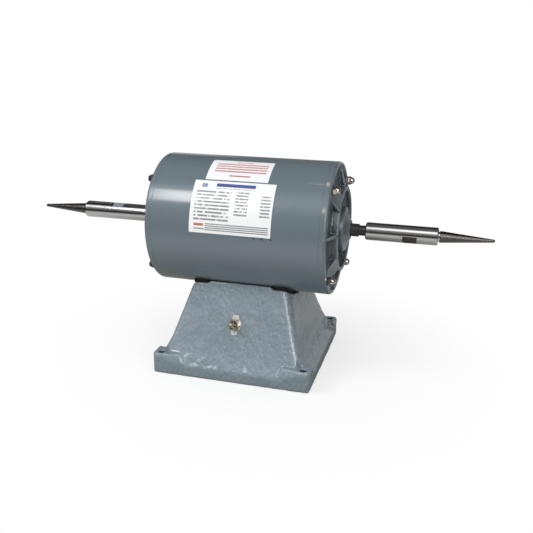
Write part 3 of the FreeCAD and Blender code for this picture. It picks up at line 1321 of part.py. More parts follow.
def rounded_path(points, bend):
    """Straight runs joined by arcs, tighter where a run is too short for the bend."""
    edges = []
    start = points[0]
    for before, corner, after in zip(points, points[1:], points[2:]):
        inward = (corner - before).normalize()
        outward = (after - corner).normalize()
        half_turn = inward.getAngle(outward) / 2
        if half_turn < MIN_HALF_TURN:
            continue
        room = min((corner - start).Length, (after - corner).Length / 2) * 0.96
        setback = min(bend * math.tan(half_turn), room)
        radius = setback / math.tan(half_turn)
        first = corner - inward * setback
        last = corner + outward * setback
        middle = corner + (outward - inward).normalize() * (radius / math.cos(half_turn) - radius)
        edges.append(Part.makeLine(start, first))
        edges.append(Part.Arc(first, middle, last).toShape())
        start = last
    edges.append(Part.makeLine(start, points[-1]))
    return Part.Wire(edges)


def lead(points, radius):
    """Insulated lead laid in straight runs with rounded bends."""
    ends = [Vector(*p) for p in points]
    path = rounded_path(ends, LEAD_BEND)
    ring = Part.Wire(Part.makeCircle(radius, ends[0], ends[1] - ends[0]))
    return path.makePipe(Part.Face(ring))


def terminal_tip(column, row):
    """Point just behind one switch terminal, where a lead is crimped on."""
    back = panel_inside() - LOCK_WASHER_PANEL - SWITCH_BODY_DEPTH - TERMINAL_LENGTH - LEAD_END_GAP
    return on_switch(back) + up_the_front() * (row * TERMINAL_ROW) + X_AXIS * (column * TERMINAL_COLUMN)


def off_terminal(column, row, distance):
    """Point straight behind a terminal."""
    return terminal_tip(column, row) - switch_frame()[1] * distance


def motor_leads():
    """Two leads from the switch up through the grommet to the windings."""
    leads = []
    entry = AXIS_HEIGHT - WEB_UNDER_RADIUS
    for column in (-1, 1):
        x = LEAD_HOLE_X + column * LEAD_SPACING
        points = [terminal_tip(column, 1), off_terminal(column, 1, LEAD_STRAIGHT)]
        points.append(Vector(LEAD_HOLE_X / 2 + column * LEAD_SPREAD, LEAD_STRAIGHT * -2, entry - LEAD_RUN))
        points.append(Vector(x, 0, entry - LEAD_BEND))
        points.append(Vector(x, 0, AXIS_HEIGHT - MAIN_RING_OUTER - LEAD_END_GAP))
        leads.append(lead(points, WIRE_RADIUS))
    return Part.makeCompound(leads)


def supply_leads():
    """Leads from the cord inlet across the chamber to the switch."""
    point, out = cord_frame()
    depth = PEDESTAL_WALL + CORD_NUT_THICKNESS + CORD_THREAD_END + 2.0
    leads = []
    for column in (-1, 1):
        start = point + X_AXIS * (column * LEAD_SPACING) - out * depth
        spread = column * LEAD_SPREAD * 3
        points = [start, start - out * (2 * LEAD_STRAIGHT)]
        points.append(Vector(spread, CAPACITOR_Y - CAPACITOR_RADIUS + 4.0, CORD_INLET_Z - LEAD_STRAIGHT))
        points.append(off_terminal(column * 1.6, -1, LEAD_RUN))
        points += [off_terminal(column, -1, LEAD_STRAIGHT), terminal_tip(column, -1)]
        leads.append(lead(points, WIRE_RADIUS))
    return Part.makeCompound(leads)


def capacitor_leads():
    """Leads from the capacitor tags to the middle switch terminals."""
    centre = capacitor_centre()
    leads = []
    for column in (-1, 1):
        x = CAPACITOR_LENGTH / 2 + CAPACITOR_TAG + LEAD_END_GAP
        y = centre.y + column * CAPACITOR_TAG_Y
        points = [Vector(x, y, centre.z), Vector(x + LEAD_STRAIGHT, y, centre.z + 1)]
        points.append(Vector(x + LEAD_SPREAD + column * LEAD_SPACING, y - LEAD_RUN, centre.z + LEAD_RUN))
        turn_x = x + (column - 2) * LEAD_SPREAD
        points.append(Vector(turn_x, LEAD_STRAIGHT, SWITCH_Z - LEAD_STRAIGHT))
        points.append(off_terminal(column * 1.6 + 2.4, 0, LEAD_RUN))
        points += [off_terminal(column, 0, LEAD_STRAIGHT), terminal_tip(column, 0)]
        leads.append(lead(points, WIRE_RADIUS))
    return Part.makeCompound(leads)


# ---- spindles ----
def spindle_profile(side):
    """Half section of the sleeve, neck and threaded taper."""
    x0 = SPINDLE_START - (LEFT_SLEEVE_EXTRA if side < 0 else 0)
    x1 = SPINDLE_SLEEVE_END
    c = SPINDLE_CHAMFER
    r = SPINDLE_RADIUS
    neck = x1 + SPINDLE_NECK_LENGTH
    bore = SPINDLE_SEAT_RADIUS
    points = [
        (x0, bore), (x0, r - c), (x0 + c, r), (x1 - c, r), (x1, r - c),
        (x1, SPINDLE_NECK_RADIUS), (neck, SPINDLE_NECK_RADIUS), (neck, TAPER_BASE_RADIUS - THREAD_DEPTH),
    ]
    tip = TAPER_TIP_X - TAPER_TIP_RADIUS
    x = neck
    while x + THREAD_PITCH < tip - 3:
        share = (x - neck) / (tip - neck)
        crest = TAPER_BASE_RADIUS + (TAPER_TIP_RADIUS - TAPER_BASE_RADIUS) * share
        points.append((x + THREAD_PITCH * 0.25, crest))
        points.append((x + THREAD_PITCH * 0.5, crest))
        points.append((x + THREAD_PITCH, crest - THREAD_DEPTH))
        x += THREAD_PITCH
    blunt = TAPER_TIP_RADIUS * 0.7
    points += [(tip, TAPER_TIP_RADIUS), (tip + blunt, blunt), (TAPER_TIP_X, 0)]
    points += [(SPINDLE_SEAT_END + 4, 0), (SPINDLE_SEAT_END + 1, bore)]
    return points


def spindle(side):
    body = mirrored(turned(spindle_profile(side)), side)
    x, angle = flat_place(side)
    cuts = []
    for turn in (0, 180):
        flat = block(
            x - FLAT_LENGTH / 2, x + FLAT_LENGTH / 2, -SPINDLE_RADIUS - 2, -SPINDLE_RADIUS + FLAT_DEPTH,
            AXIS_HEIGHT - SPINDLE_RADIUS, AXIS_HEIGHT + SPINDLE_RADIUS,
        )
        cuts.append(at_angle(flat, angle + turn))
    cuts.append(radial_rod(x, SPINDLE_SEAT_RADIUS - 3, SPINDLE_RADIUS + 2, SET_SCREW_RADIUS, angle + 180))
    return body.cut(cuts)


def flat_place(side):
    """Middle and angle of the wrench flat that shows."""
    return (FLAT_X_RIGHT, FLAT_ANGLE_RIGHT) if side > 0 else (-FLAT_X_LEFT, FLAT_ANGLE_LEFT)


def set_screw(side):
    x, angle = flat_place(side)
    angle += 180
    top = SPINDLE_RADIUS - FLAT_DEPTH - SET_SCREW_TOP
    screw = radial_rod(x, SPINDLE_SEAT_RADIUS - 1, top, SET_SCREW_RADIUS, angle)
    screw = screw.cut(rod(x - THROUGH, x + THROUGH, SPINDLE_SEAT_RADIUS))
    socket = hexagon(SET_SCREW_SOCKET, THROUGH, front_point(x, top - SET_SCREW_SOCKET_DEPTH), FRONT)
    return screw.cut(at_angle(socket, angle))


# ---- all nodes ----
def make_nodes():
    nodes = {
        "pedestal": pedestal(),
        "bottom_plate": bottom_plate(),
        "bottom_plate_screws": bottom_plate_screws(),
        "cord_bushing": cord_bushing(),
        "cord_nut": cord_nut(),
        "toggle_body": toggle_body(),
        "toggle_bushing": toggle_bushing(),
        "toggle_lock_washer": toggle_lock_washer(),
        "switch_tag": switch_tag(),
        "toggle_nut": toggle_nut(),
        "toggle_lever": toggle_lever(),
        "toggle_terminals": toggle_terminals(),
        "motor_bolts": motor_bolts(),
        "motor_washers": motor_washers(),
        "weld_nuts": weld_nuts(),
        "lead_grommet": lead_grommet(),
        "motor_shell": motor_shell(),
        "shell_rivets": shell_rivets(),
        "rating_plate": shell_plate(RATING_X, RATING_ANGLE),
        "notice_plate": shell_plate(NOTICE_X, NOTICE_ANGLE),
        "through_bolts": through_bolts(),
        "lock_washers": lock_washers(),
        "set_screws": Part.makeCompound([set_screw(side) for side, _ in SIDES]),
        "acorn_nuts": acorn_nuts(),
        "wave_washer": wave_washer(),
        "bearing_shim": bearing_shim(),
        "stator_core": stator_core(),
        "main_winding": main_winding(),
        "start_winding": start_winding(),
        "motor_shaft": motor_shaft(),
        "rotor_core": rotor_core(),
        "governor_plate": governor_plate(),
        "governor_weight_front": governor_weight(0),
        "governor_weight_back": governor_weight(180),
        "governor_collar": governor_collar(),
        "switch_board": switch_board(),
        "switch_contacts": switch_contacts(),
        "start_capacitor": start_capacitor(),
        "capacitor_clamp": capacitor_clamp(),
        "motor_leads": motor_leads(),
        "supply_leads": supply_leads(),
        "capacitor_leads": capacitor_leads(),
    }
    for side, word in SIDES:
        nodes["saddle_pad_" + word] = saddle_pad(side)
        nodes["end_bell_" + word] = end_bell(side)
        nodes["bearing_inner_" + word] = bearing_inner(side)
        nodes["bearing_outer_" + word] = bearing_outer(side)
        nodes["bearing_balls_" + word] = bearing_balls(side)
        nodes["bearing_cage_" + word] = bearing_cage(side)
        nodes["bearing_spacer_" + word] = bearing_spacer(side)
        nodes["rotor_end_ring_" + word] = rotor_end_ring(side)
        nodes["spindle_" + word] = spindle(side)
    return nodes


os.makedirs("parts", exist_ok=True)
for node_name, node_shape in make_nodes().items():
    node_shape.exportStep("parts/" + node_name + ".step")
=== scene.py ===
import json
import math

import bmesh
import bpy
from mathutils import Matrix, Vector

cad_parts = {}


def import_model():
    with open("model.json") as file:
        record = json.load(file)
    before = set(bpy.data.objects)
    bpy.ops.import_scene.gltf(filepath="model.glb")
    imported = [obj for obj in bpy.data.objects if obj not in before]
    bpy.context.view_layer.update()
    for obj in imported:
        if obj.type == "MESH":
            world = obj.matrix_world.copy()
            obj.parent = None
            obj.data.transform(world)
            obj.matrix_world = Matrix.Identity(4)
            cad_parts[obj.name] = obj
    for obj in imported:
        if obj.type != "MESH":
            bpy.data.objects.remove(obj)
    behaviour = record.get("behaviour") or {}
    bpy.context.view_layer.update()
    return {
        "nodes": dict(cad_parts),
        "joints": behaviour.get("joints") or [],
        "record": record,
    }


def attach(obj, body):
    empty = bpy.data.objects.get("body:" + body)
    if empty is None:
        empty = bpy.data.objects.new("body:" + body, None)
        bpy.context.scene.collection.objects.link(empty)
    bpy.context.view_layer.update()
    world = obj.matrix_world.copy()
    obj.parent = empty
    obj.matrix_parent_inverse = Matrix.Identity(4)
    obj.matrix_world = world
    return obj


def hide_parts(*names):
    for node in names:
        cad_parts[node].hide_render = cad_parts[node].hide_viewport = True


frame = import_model()
nodes = frame["nodes"]

# All sizes are in metres and all named angles in degrees. The motor's axis
# runs along X, at the height of the rotor's joint. Angles round it start at
# the front and rise toward the top.
AXIS = next(joint["pos_m"][2] for joint in frame["joints"] if joint["name"] == "rotor_spin")
SHELL_R = 0.0825
SHELL_END = 0.104
SLEEVE_R = 0.0109
FLAT_CUT = 0.0015
FLAT_LENGTH = 0.017
SLEEVE_START = {"left": 0.142, "right": 0.147}
FLAT_X = {"left": 0.1865, "right": 0.2005}
FLAT_ANGLE = {"left": 71.0, "right": -36.0}
SIDES = {"left": -1, "right": 1}


# ---------- node helpers ----------
class Nodes:
    """Short calls for building a node graph."""

    def __init__(self, tree, out_type, coordinates):
        self.tree = tree
        self.tree.nodes.clear()
        self.out = self.tree.nodes.new(out_type)
        self.coords = self.tree.nodes.new("ShaderNodeTexCoord").outputs[coordinates]

    def link(self, a, b):
        self.tree.links.new(a, b)

    def mapped(self, scale=(1, 1, 1), rotation=(0, 0, 0), location=(0, 0, 0), source=None):
        node = self.tree.nodes.new("ShaderNodeMapping")
        node.inputs["Scale"].default_value = scale
        node.inputs["Rotation"].default_value = rotation
        node.inputs["Location"].default_value = location
        self.link(source or self.coords, node.inputs["Vector"])
        return node.outputs[0]

    def noise(self, scale, detail=3.0, rough=0.5, vector=None, distortion=0.0):
        node = self.tree.nodes.new("ShaderNodeTexNoise")
        node.inputs["Scale"].default_value = scale
        node.inputs["Detail"].default_value = detail
        node.inputs["Roughness"].default_value = rough
        node.inputs["Distortion"].default_value = distortion
        self.link(vector or self.coords, node.inputs["Vector"])
        return node.outputs["Fac"]

    def voronoi(self, scale, vector=None, feature="SMOOTH_F1", smooth=0.6):
        node = self.tree.nodes.new("ShaderNodeTexVoronoi")
        node.feature = feature
        node.inputs["Scale"].default_value = scale
        if feature == "SMOOTH_F1":
            node.inputs["Smoothness"].default_value = smooth
        self.link(vector or self.coords, node.inputs["Vector"])
        return node.outputs["Distance"]

    def math(self, op, a, b=None, c=None, clamp=False):
        node = self.tree.nodes.new("ShaderNodeMath")
        node.operation = op
        node.use_clamp = clamp
        for i, value in enumerate((a, b, c)):
            if value is None:
                continue
            if isinstance(value, (int, float)):
                node.inputs[i].default_value = value
            else:
                self.link(value, node.inputs[i])
        return node.outputs[0]

    def ramp(self, fac, stops):
        node = self.tree.nodes.new("ShaderNodeValToRGB")
        elements = node.color_ramp.elements
        while len(elements) < len(stops):
            elements.new(0.5)
        for element, (place, colour) in zip(elements, stops):
            element.position = place
            element.color = (*colour, 1.0)
        self.link(fac, node.inputs[0])
        return node.outputs[0]

    def map_range(self, value, low, high, to_low, to_high):
        node = self.tree.nodes.new("ShaderNodeMapRange")
        node.inputs["From Min"].default_value = low
        node.inputs["From Max"].default_value = high
        node.inputs["To Min"].default_value = to_low
        node.inputs["To Max"].default_value = to_high
        self.link(value, node.inputs["Value"])
        return node.outputs[0]

    def mix(self, fac, a, b):
        node = self.tree.nodes.new("ShaderNodeMix")
        node.data_type = "RGBA"
        if isinstance(fac, (int, float)):
            node.inputs[0].default_value = fac
        else:
            self.link(fac, node.inputs[0])
        for socket, value in ((node.inputs[6], a), (node.inputs[7], b)):
            if isinstance(value, (tuple, list)):
                socket.default_value = (*value, 1.0)
            else:
                self.link(value, socket)
        return node.outputs[2]

    def mix_shader(self, fac, a, b):
        node = self.tree.nodes.new("ShaderNodeMixShader")
        self.link(fac, node.inputs[0])
        self.link(a, node.inputs[1])
        self.link(b, node.inputs[2])
        return node.outputs[0]

    def rays(self, *kinds):
        """1 for the named kinds of ray, such as "Is Camera Ray"."""
        path = self.tree.nodes.new("ShaderNodeLightPath")
        total = path.outputs[kinds[0]]
        for kind in kinds[1:]:
            total = self.math("MAXIMUM", total, path.outputs[kind])
        return total

    def xyz(self, source=None):
        node = self.tree.nodes.new("ShaderNodeSeparateXYZ")
        self.link(source or self.coords, node.inputs[0])
        return node.outputs


class Graph(Nodes):
    """One material's graph round a Principled shader."""

    def __init__(self, name):
        self.material = bpy.data.materials.new(name)
        self.material.use_nodes = True
        super().__init__(self.material.node_tree, "ShaderNodeOutputMaterial", "Object")
        self.shader = self.tree.nodes.new("ShaderNodeBsdfPrincipled")
        self.link(self.shader.outputs[0], self.out.inputs["Surface"])

    def set(self, **values):
        for key, value in values.items():
            self.shader.inputs[key.replace("_", " ")].default_value = value
        return self

    def colour(self, output):
        self.link(output, self.shader.inputs["Base Color"])
        return self

    def roughness(self, value, low, high):
        self.link(self.map_range(value, 0.25, 0.75, low, high), self.shader.inputs["Roughness"])
        return self

    def bump(self, height, strength, distance):
        node = self.tree.nodes.new("ShaderNodeBump")
        node.inputs["Strength"].default_value = strength
        node.inputs["Distance"].default_value = distance
        self.link(height, node.inputs["Height"])
        self.link(node.outputs[0], self.shader.inputs["Normal"])
        return self

    def shade(self, reach):
        """Share of open sky near a point: low in corners and pockets."""
        node = self.tree.nodes.new("ShaderNodeAmbientOcclusion")
        node.samples = 6
        node.only_local = True
        node.inputs["Distance"].default_value = reach
        return self.map_range(node.outputs["AO"], 0.32, 0.92, 0.0, 1.0)

    def pointiness(self):
        return self.tree.nodes.new("ShaderNodeNewGeometry").outputs["Pointiness"]


def inside(g, value, low, high):
    """1 where a value lies between two limits."""
    return g.math("MULTIPLY", g.math("GREATER_THAN", value, low), g.math("LESS_THAN", value, high))


def distance(g, value, middle):
    return g.math("ABSOLUTE", g.math("SUBTRACT", value, middle))


def motor_turn(g, y, z):
    """Angle round the motor axis in radians."""
    return g.math("ARCTAN2", g.math("SUBTRACT", z, AXIS), g.math("MULTIPLY", y, -1.0))


def toned(colour, share):
    return tuple(share * level for level in colour)


def grey(level):
    return (level, level, level)


# ---------- materials ----------
SHELL_PAINT = ((0.120, 0.157, 0.183), (0.136, 0.174, 0.200))
SHELL_STREAK = (0.092, 0.12, 0.137)
# Pale brown marks near the right-hand rim.
RIM_MARK_COLOUR = (0.50, 0.43, 0.37)
# Each mark: (where it starts, is full and ends along x), angle, spread, strength.
RIM_MARKS = (
    ((0.080, 0.098, 0.103), 51.2, 1.4, 0.30),
    ((0.1035, 0.1055, 0.120), 51.6, 3.2, 0.75),
    ((0.1035, 0.1055, 0.120), 27.8, 3.0, 0.70),
)


def shell_enamel(name):
    """Smooth grey enamel with faint streaks along the motor axis, and pale
    brown marks near the right-hand rim."""
    g = Graph(name)
    g.set(Specular_IOR_Level=0.5, Coat_Weight=0.85, Coat_Roughness=0.10)
    broad = g.noise(9.0, 2.0)
    streaks = g.noise(1.0, 3.0, 0.6, g.mapped(scale=(7.0, 330.0, 330.0)))
    base = g.mix(broad, *SHELL_PAINT)
    base = g.mix(g.math("MULTIPLY", streaks, 0.22), base, SHELL_STREAK)
    x, y, z = g.xyz()
    angle = g.math("MULTIPLY", motor_turn(g, y, z), 180.0 / math.pi)
    for (start, full, end), middle, spread, strength in RIM_MARKS:
        along = g.math("MULTIPLY", g.map_range(x, start, full, 0.0, 1.0), g.math("LESS_THAN", x, end))
        across = g.map_range(distance(g, angle, middle), 0.0, spread, strength, 0.0)
        base = g.mix(g.math("MULTIPLY", along, across), base, RIM_MARK_COLOUR)
    g.colour(base)
    g.roughness(streaks, 0.26, 0.40)
    height = g.math("ADD", streaks, g.math("MULTIPLY", g.noise(420.0, 1.5), 0.5))
    return g.bump(height, 0.10, 0.0006).material


CASTING_MARK = (0.016, 0.052)
MARK_RING = (0.0042, 0.0056)
MARK_OPENING = -0.0035
MARK_FROM_X = 0.05
# Pale colour of the painted highlight on sharp edges.
EDGE_HIGHLIGHT_COLOUR = (0.40, 0.46, 0.50)


def casting_enamel(name, light, dark, lump=1.0, coat=0.8, edge_highlight=0.40, reach=0.010, mark=None):
    """Glossy paint over sand-cast iron, with soft lumps, a painted highlight on
    sharp edges, painted shade in hollows and corners and, where given, a raised
    casting mark at (y, z) on a skin that grows rougher upward."""
    g = Graph(name)
    g.set(Specular_IOR_Level=0.5, Coat_Weight=coat, Coat_Roughness=0.08)
    wander = g.mapped(scale=(1.0, 1.0, 0.62))
    lumps = g.noise(220.0, 2.0, 0.5, wander, 0.25)
    swells = g.noise(48.0, 1.5, 0.5, wander)
    pits = g.voronoi(300.0, wander)
    tone = g.math("MULTIPLY_ADD", g.noise(22.0, 3.0), 0.6, g.math("MULTIPLY", lumps, 0.4))
    base = g.ramp(tone, [(0.25, dark), (0.75, light)])
    # Painted shade: places that see little open sky, such as corners and pockets, are darkened.
    base = g.mix(g.shade(reach), toned(dark, 0.06), base)
    point = g.pointiness()
    # Painted shade: concave creases are darkened as well.
    painted_hollow_shade = g.math("MINIMUM", g.map_range(point, 0.49, 0.42, 0.0, 0.6), 0.6, clamp=True)
    base = g.mix(painted_hollow_shade, base, toned(dark, 0.35))
    # Painted highlight: sharp edges are lightened toward a pale colour.
    edge = g.math("MINIMUM", g.map_range(point, 0.51, 0.57, 0.0, edge_highlight), edge_highlight, clamp=True)
    g.colour(g.mix(edge, base, EDGE_HIGHLIGHT_COLOUR))
    g.roughness(g.noise(70.0, 2.0), 0.24, 0.38)
    height = g.math("MULTIPLY_ADD", pits, 0.35, lumps)
    height = g.math("MULTIPLY_ADD", swells, 2.2, height)
    if mark:
        rougher = g.map_range(g.xyz()[2], 0.03, 0.10, -0.25, 0.75)
        height = g.math("MULTIPLY_ADD", g.math("SUBTRACT", lumps, 0.5), rougher, height)
        height = g.math("MULTIPLY_ADD", hook_mark(g, mark), 1.6, height)
    return g.bump(height, 0.80 * lump, 0.0020).material


def hook_mark(g, place):
    """Open ring on the right-hand face, as a core print leaves."""
    x, y, z = g.xyz()
    dy = g.math("SUBTRACT", y, place[0])
    dz = g.math("SUBTRACT", z, place[1])
    span = g.math("SQRT", g.math("ADD", g.math("POWER", dy, 2.0), g.math("POWER", dz, 2.0)))
    ring = inside(g, span, *MARK_RING)
    opening = g.math("GREATER_THAN", g.math("ADD", dy, dz), MARK_OPENING)
    return g.math("MULTIPLY", g.math("MULTIPLY", ring, opening), g.math("GREATER_THAN", x, MARK_FROM_X))


FLAT_MARGIN = 0.0001
# Dark brown given to one spindle's wrench flats.
FLAT_DARK_BROWN = (0.13, 0.11, 0.09)


def flat_mark(g, word):
    """1 on the two wrench flats that are cut across one spindle."""
    x, y, z = g.xyz()
    turn = math.radians(FLAT_ANGLE[word])
    rise = g.math("MULTIPLY", g.math("SUBTRACT", z, AXIS), math.sin(turn))
    height = g.math("ABSOLUTE", g.math("SUBTRACT", rise, g.math("MULTIPLY", y, math.cos(turn))))
    near = distance(g, x, SIDES[word] * FLAT_X[word])
    near = g.math("LESS_THAN", near, FLAT_LENGTH / 2 + FLAT_MARGIN)
    level = SLEEVE_R - FLAT_CUT
    return g.math("MULTIPLY", near, inside(g, height, level - 2 * FLAT_MARGIN, level + 2 * FLAT_MARGIN))


def turned_steel(name, colour, low, high, ring=2600.0, strength=0.05, dark_flat_side=None):
    """Metal with fine turning rings round the motor axis and, where a side is
    given, dark brown wrench flats on that side's spindle."""
    g = Graph(name)
    g.set(Metallic=1.0)
    rings = g.noise(1.0, 2.0, 0.6, g.mapped(scale=(ring, 40.0, 40.0)))
    marks = g.noise(60.0, 4.0, 0.6)
    base = g.mix(g.math("MULTIPLY", marks, 0.7), colour, toned(colour, 0.82))
    if dark_flat_side:
        base = g.mix(flat_mark(g, dark_flat_side), base, FLAT_DARK_BROWN)
    g.colour(base)
    g.roughness(rings, low, high)
    return g.bump(rings, strength, 0.0002).material


def plain_metal(name, colour, low=0.18, high=0.32, metallic=1.0, scale=180.0, strength=0.06):
    """Metal with a faint mottle in its colour, gloss and surface."""
    g = Graph(name)
    g.set(Metallic=metallic)
    marks = g.noise(scale, 4.0, 0.6)
    g.colour(g.mix(g.math("MULTIPLY", marks, 0.8), colour, toned(colour, 0.75)))
    g.roughness(g.noise(scale * 0.6, 3.0), low, high)
    return g.bump(marks, strength, 0.0003).material


def dull(name, colour, second, low=0.45, high=0.65, scale=300.0, strength=0.15, specular=0.4):
    """Rubber, moulding or insulation with a fine mottled surface."""
    g = Graph(name)
    g.set(Specular_IOR_Level=specular)
    speck = g.noise(scale, 4.0, 0.65)
    g.colour(g.mix(speck, colour, second))
    g.roughness(g.noise(scale * 0.3, 2.0), low, high)
    return g.bump(speck, strength, 0.0004).material


SHEET_PITCH = 0.001


def laminated(name):
    """Stacked sheet edges across the motor axis."""
    g = Graph(name)
    g.set(Metallic=0.9)
    x = g.xyz()[0]
    stack = g.math("SINE", g.math("MULTIPLY", x, 2 * math.pi / SHEET_PITCH))
    g.colour(g.mix(g.map_range(stack, -1, 1, 0, 1), (0.10, 0.10, 0.11), (0.30, 0.31, 0.33)))
    g.roughness(g.noise(120.0), 0.35, 0.5)
    return g.bump(stack, 0.2, 0.0002).material


def wound(name):
    """Varnished copper wire laid round the motor axis."""
    g = Graph(name)
    g.set(Metallic=0.55, Coat_Weight=0.5, Coat_Roughness=0.2)
    wires = g.noise(1.0, 2.0, 0.5, g.mapped(scale=(1500.0, 120.0, 120.0)))
    g.colour(g.ramp(wires, [(0.3, (0.18, 0.05, 0.015)), (0.7, (0.48, 0.17, 0.05))]))
    g.roughness(wires, 0.3, 0.5)
    return g.bump(wires, 0.5, 0.0006).material


def patch(g, u, v, area):
    """Plain rectangle (u0, u1, v0, v1) of a plate."""
    return g.math("MULTIPLY", inside(g, u, area[0], area[1]), inside(g, v, area[2], area[3]))


BAR_BODY = (0.24, 0.76)
ROW_SEED = 7.31


def bar_rows(g, u, v, area, rows, fill, words):
    """Rows of short bars inside a rectangle, standing in for printing."""
    share = g.map_range(v, area[2], area[3], 0.0, rows)
    seed = g.tree.nodes.new("ShaderNodeCombineXYZ")
    g.link(g.math("MULTIPLY", u, words), seed.inputs[0])
    g.link(g.math("MULTIPLY", g.math("FLOOR", share), ROW_SEED), seed.inputs[1])
    inked = g.math("GREATER_THAN", g.noise(1.0, 5.0, 0.8, seed.outputs[0]), 1.0 - fill)
    bar = inside(g, g.math("FRACT", share), *BAR_BODY)
    return g.math("MULTIPLY", g.math("MULTIPLY", bar, inked), patch(g, u, v, area))


def plate_face(name, x_range, angle_range, layers):
    """White foil. A layer is (area, colour, strength), and one of bars also has
    its count of rows, their fill and their count of words."""
    g = Graph(name)
    g.set(Specular_IOR_Level=0.5, Coat_Weight=0.2, Coat_Roughness=0.2)
    x, y, z = g.xyz()
    low, high = (math.radians(angle) for angle in angle_range)
    u = g.map_range(x, *x_range, 0.0, 1.0)
    v = g.map_range(motor_turn(g, y, z), low, high, 0.0, 1.0)
    colour = g.mix(g.noise(40.0), *FOIL)
    for area, ink, strength, *rows in layers:
        mask = bar_rows(g, u, v, area, *rows) if rows else patch(g, u, v, area)
        colour = g.mix(g.math("MULTIPLY", mask, strength), colour, ink)
    g.colour(colour)
    g.roughness(g.noise(90.0), 0.28, 0.4)
    return g.bump(g.noise(500.0), 0.02, 0.0003).material


# Reach of each plate along x and round the motor, and what is printed on it
# as (u0, u1, v0, v1) shares of the plate.
RATING_X = (-0.0533, 0.0473)
RATING_ANGLE = (2.2, 47.4)
NOTICE_X = (-0.0415, 0.0362)
NOTICE_ANGLE = (48.7, 75.0)
FOIL = ((0.78, 0.79, 0.80), (0.84, 0.85, 0.86))
BLACK_INK = (0.045, 0.05, 0.06)
BLUE_INK = (0.02, 0.06, 0.25)
RED_INK = (0.42, 0.03, 0.03)
RATING_LAYERS = [
    ((0.10, 0.17, 0.855, 0.935), BLUE_INK, 0.70),
    ((0.28, 0.76, 0.880, 0.950), BLUE_INK, 0.95),
    ((0.28, 0.76, 0.825, 0.865), BLUE_INK, 0.45, 1, 0.55, 40.0),
    ((0.05, 0.48, 0.22, 0.80), BLACK_INK, 0.74, 9, 0.55, 19.0),
    ((0.54, 0.70, 0.34, 0.81), BLACK_INK, 0.72, 8, 0.56, 26.0),
    ((0.85, 0.97, 0.34, 0.76), BLACK_INK, 0.72, 7, 0.56, 30.0),
    ((0.05, 0.97, 0.045, 0.19), BLACK_INK, 0.80, 4, 0.62, 44.0),
    ((0.05, 0.20, 0.045, 0.19), (0.80, 0.81, 0.82), 1.0),
    ((0.06, 0.18, 0.13, 0.175), RED_INK, 0.85),
    ((0.06, 0.19, 0.055, 0.10), BLACK_INK, 0.70, 1, 0.7, 40.0),
]
NOTICE_LAYERS = [
    ((0.40, 0.66, 0.86, 0.92), RED_INK, 0.80, 1, 0.7, 40.0),
    ((0.10, 0.93, 0.32, 0.82), RED_INK, 0.72, 4, 0.60, 30.0),
    ((0.36, 0.70, 0.14, 0.24), RED_INK, 0.90, 1, 0.75, 30.0),
]

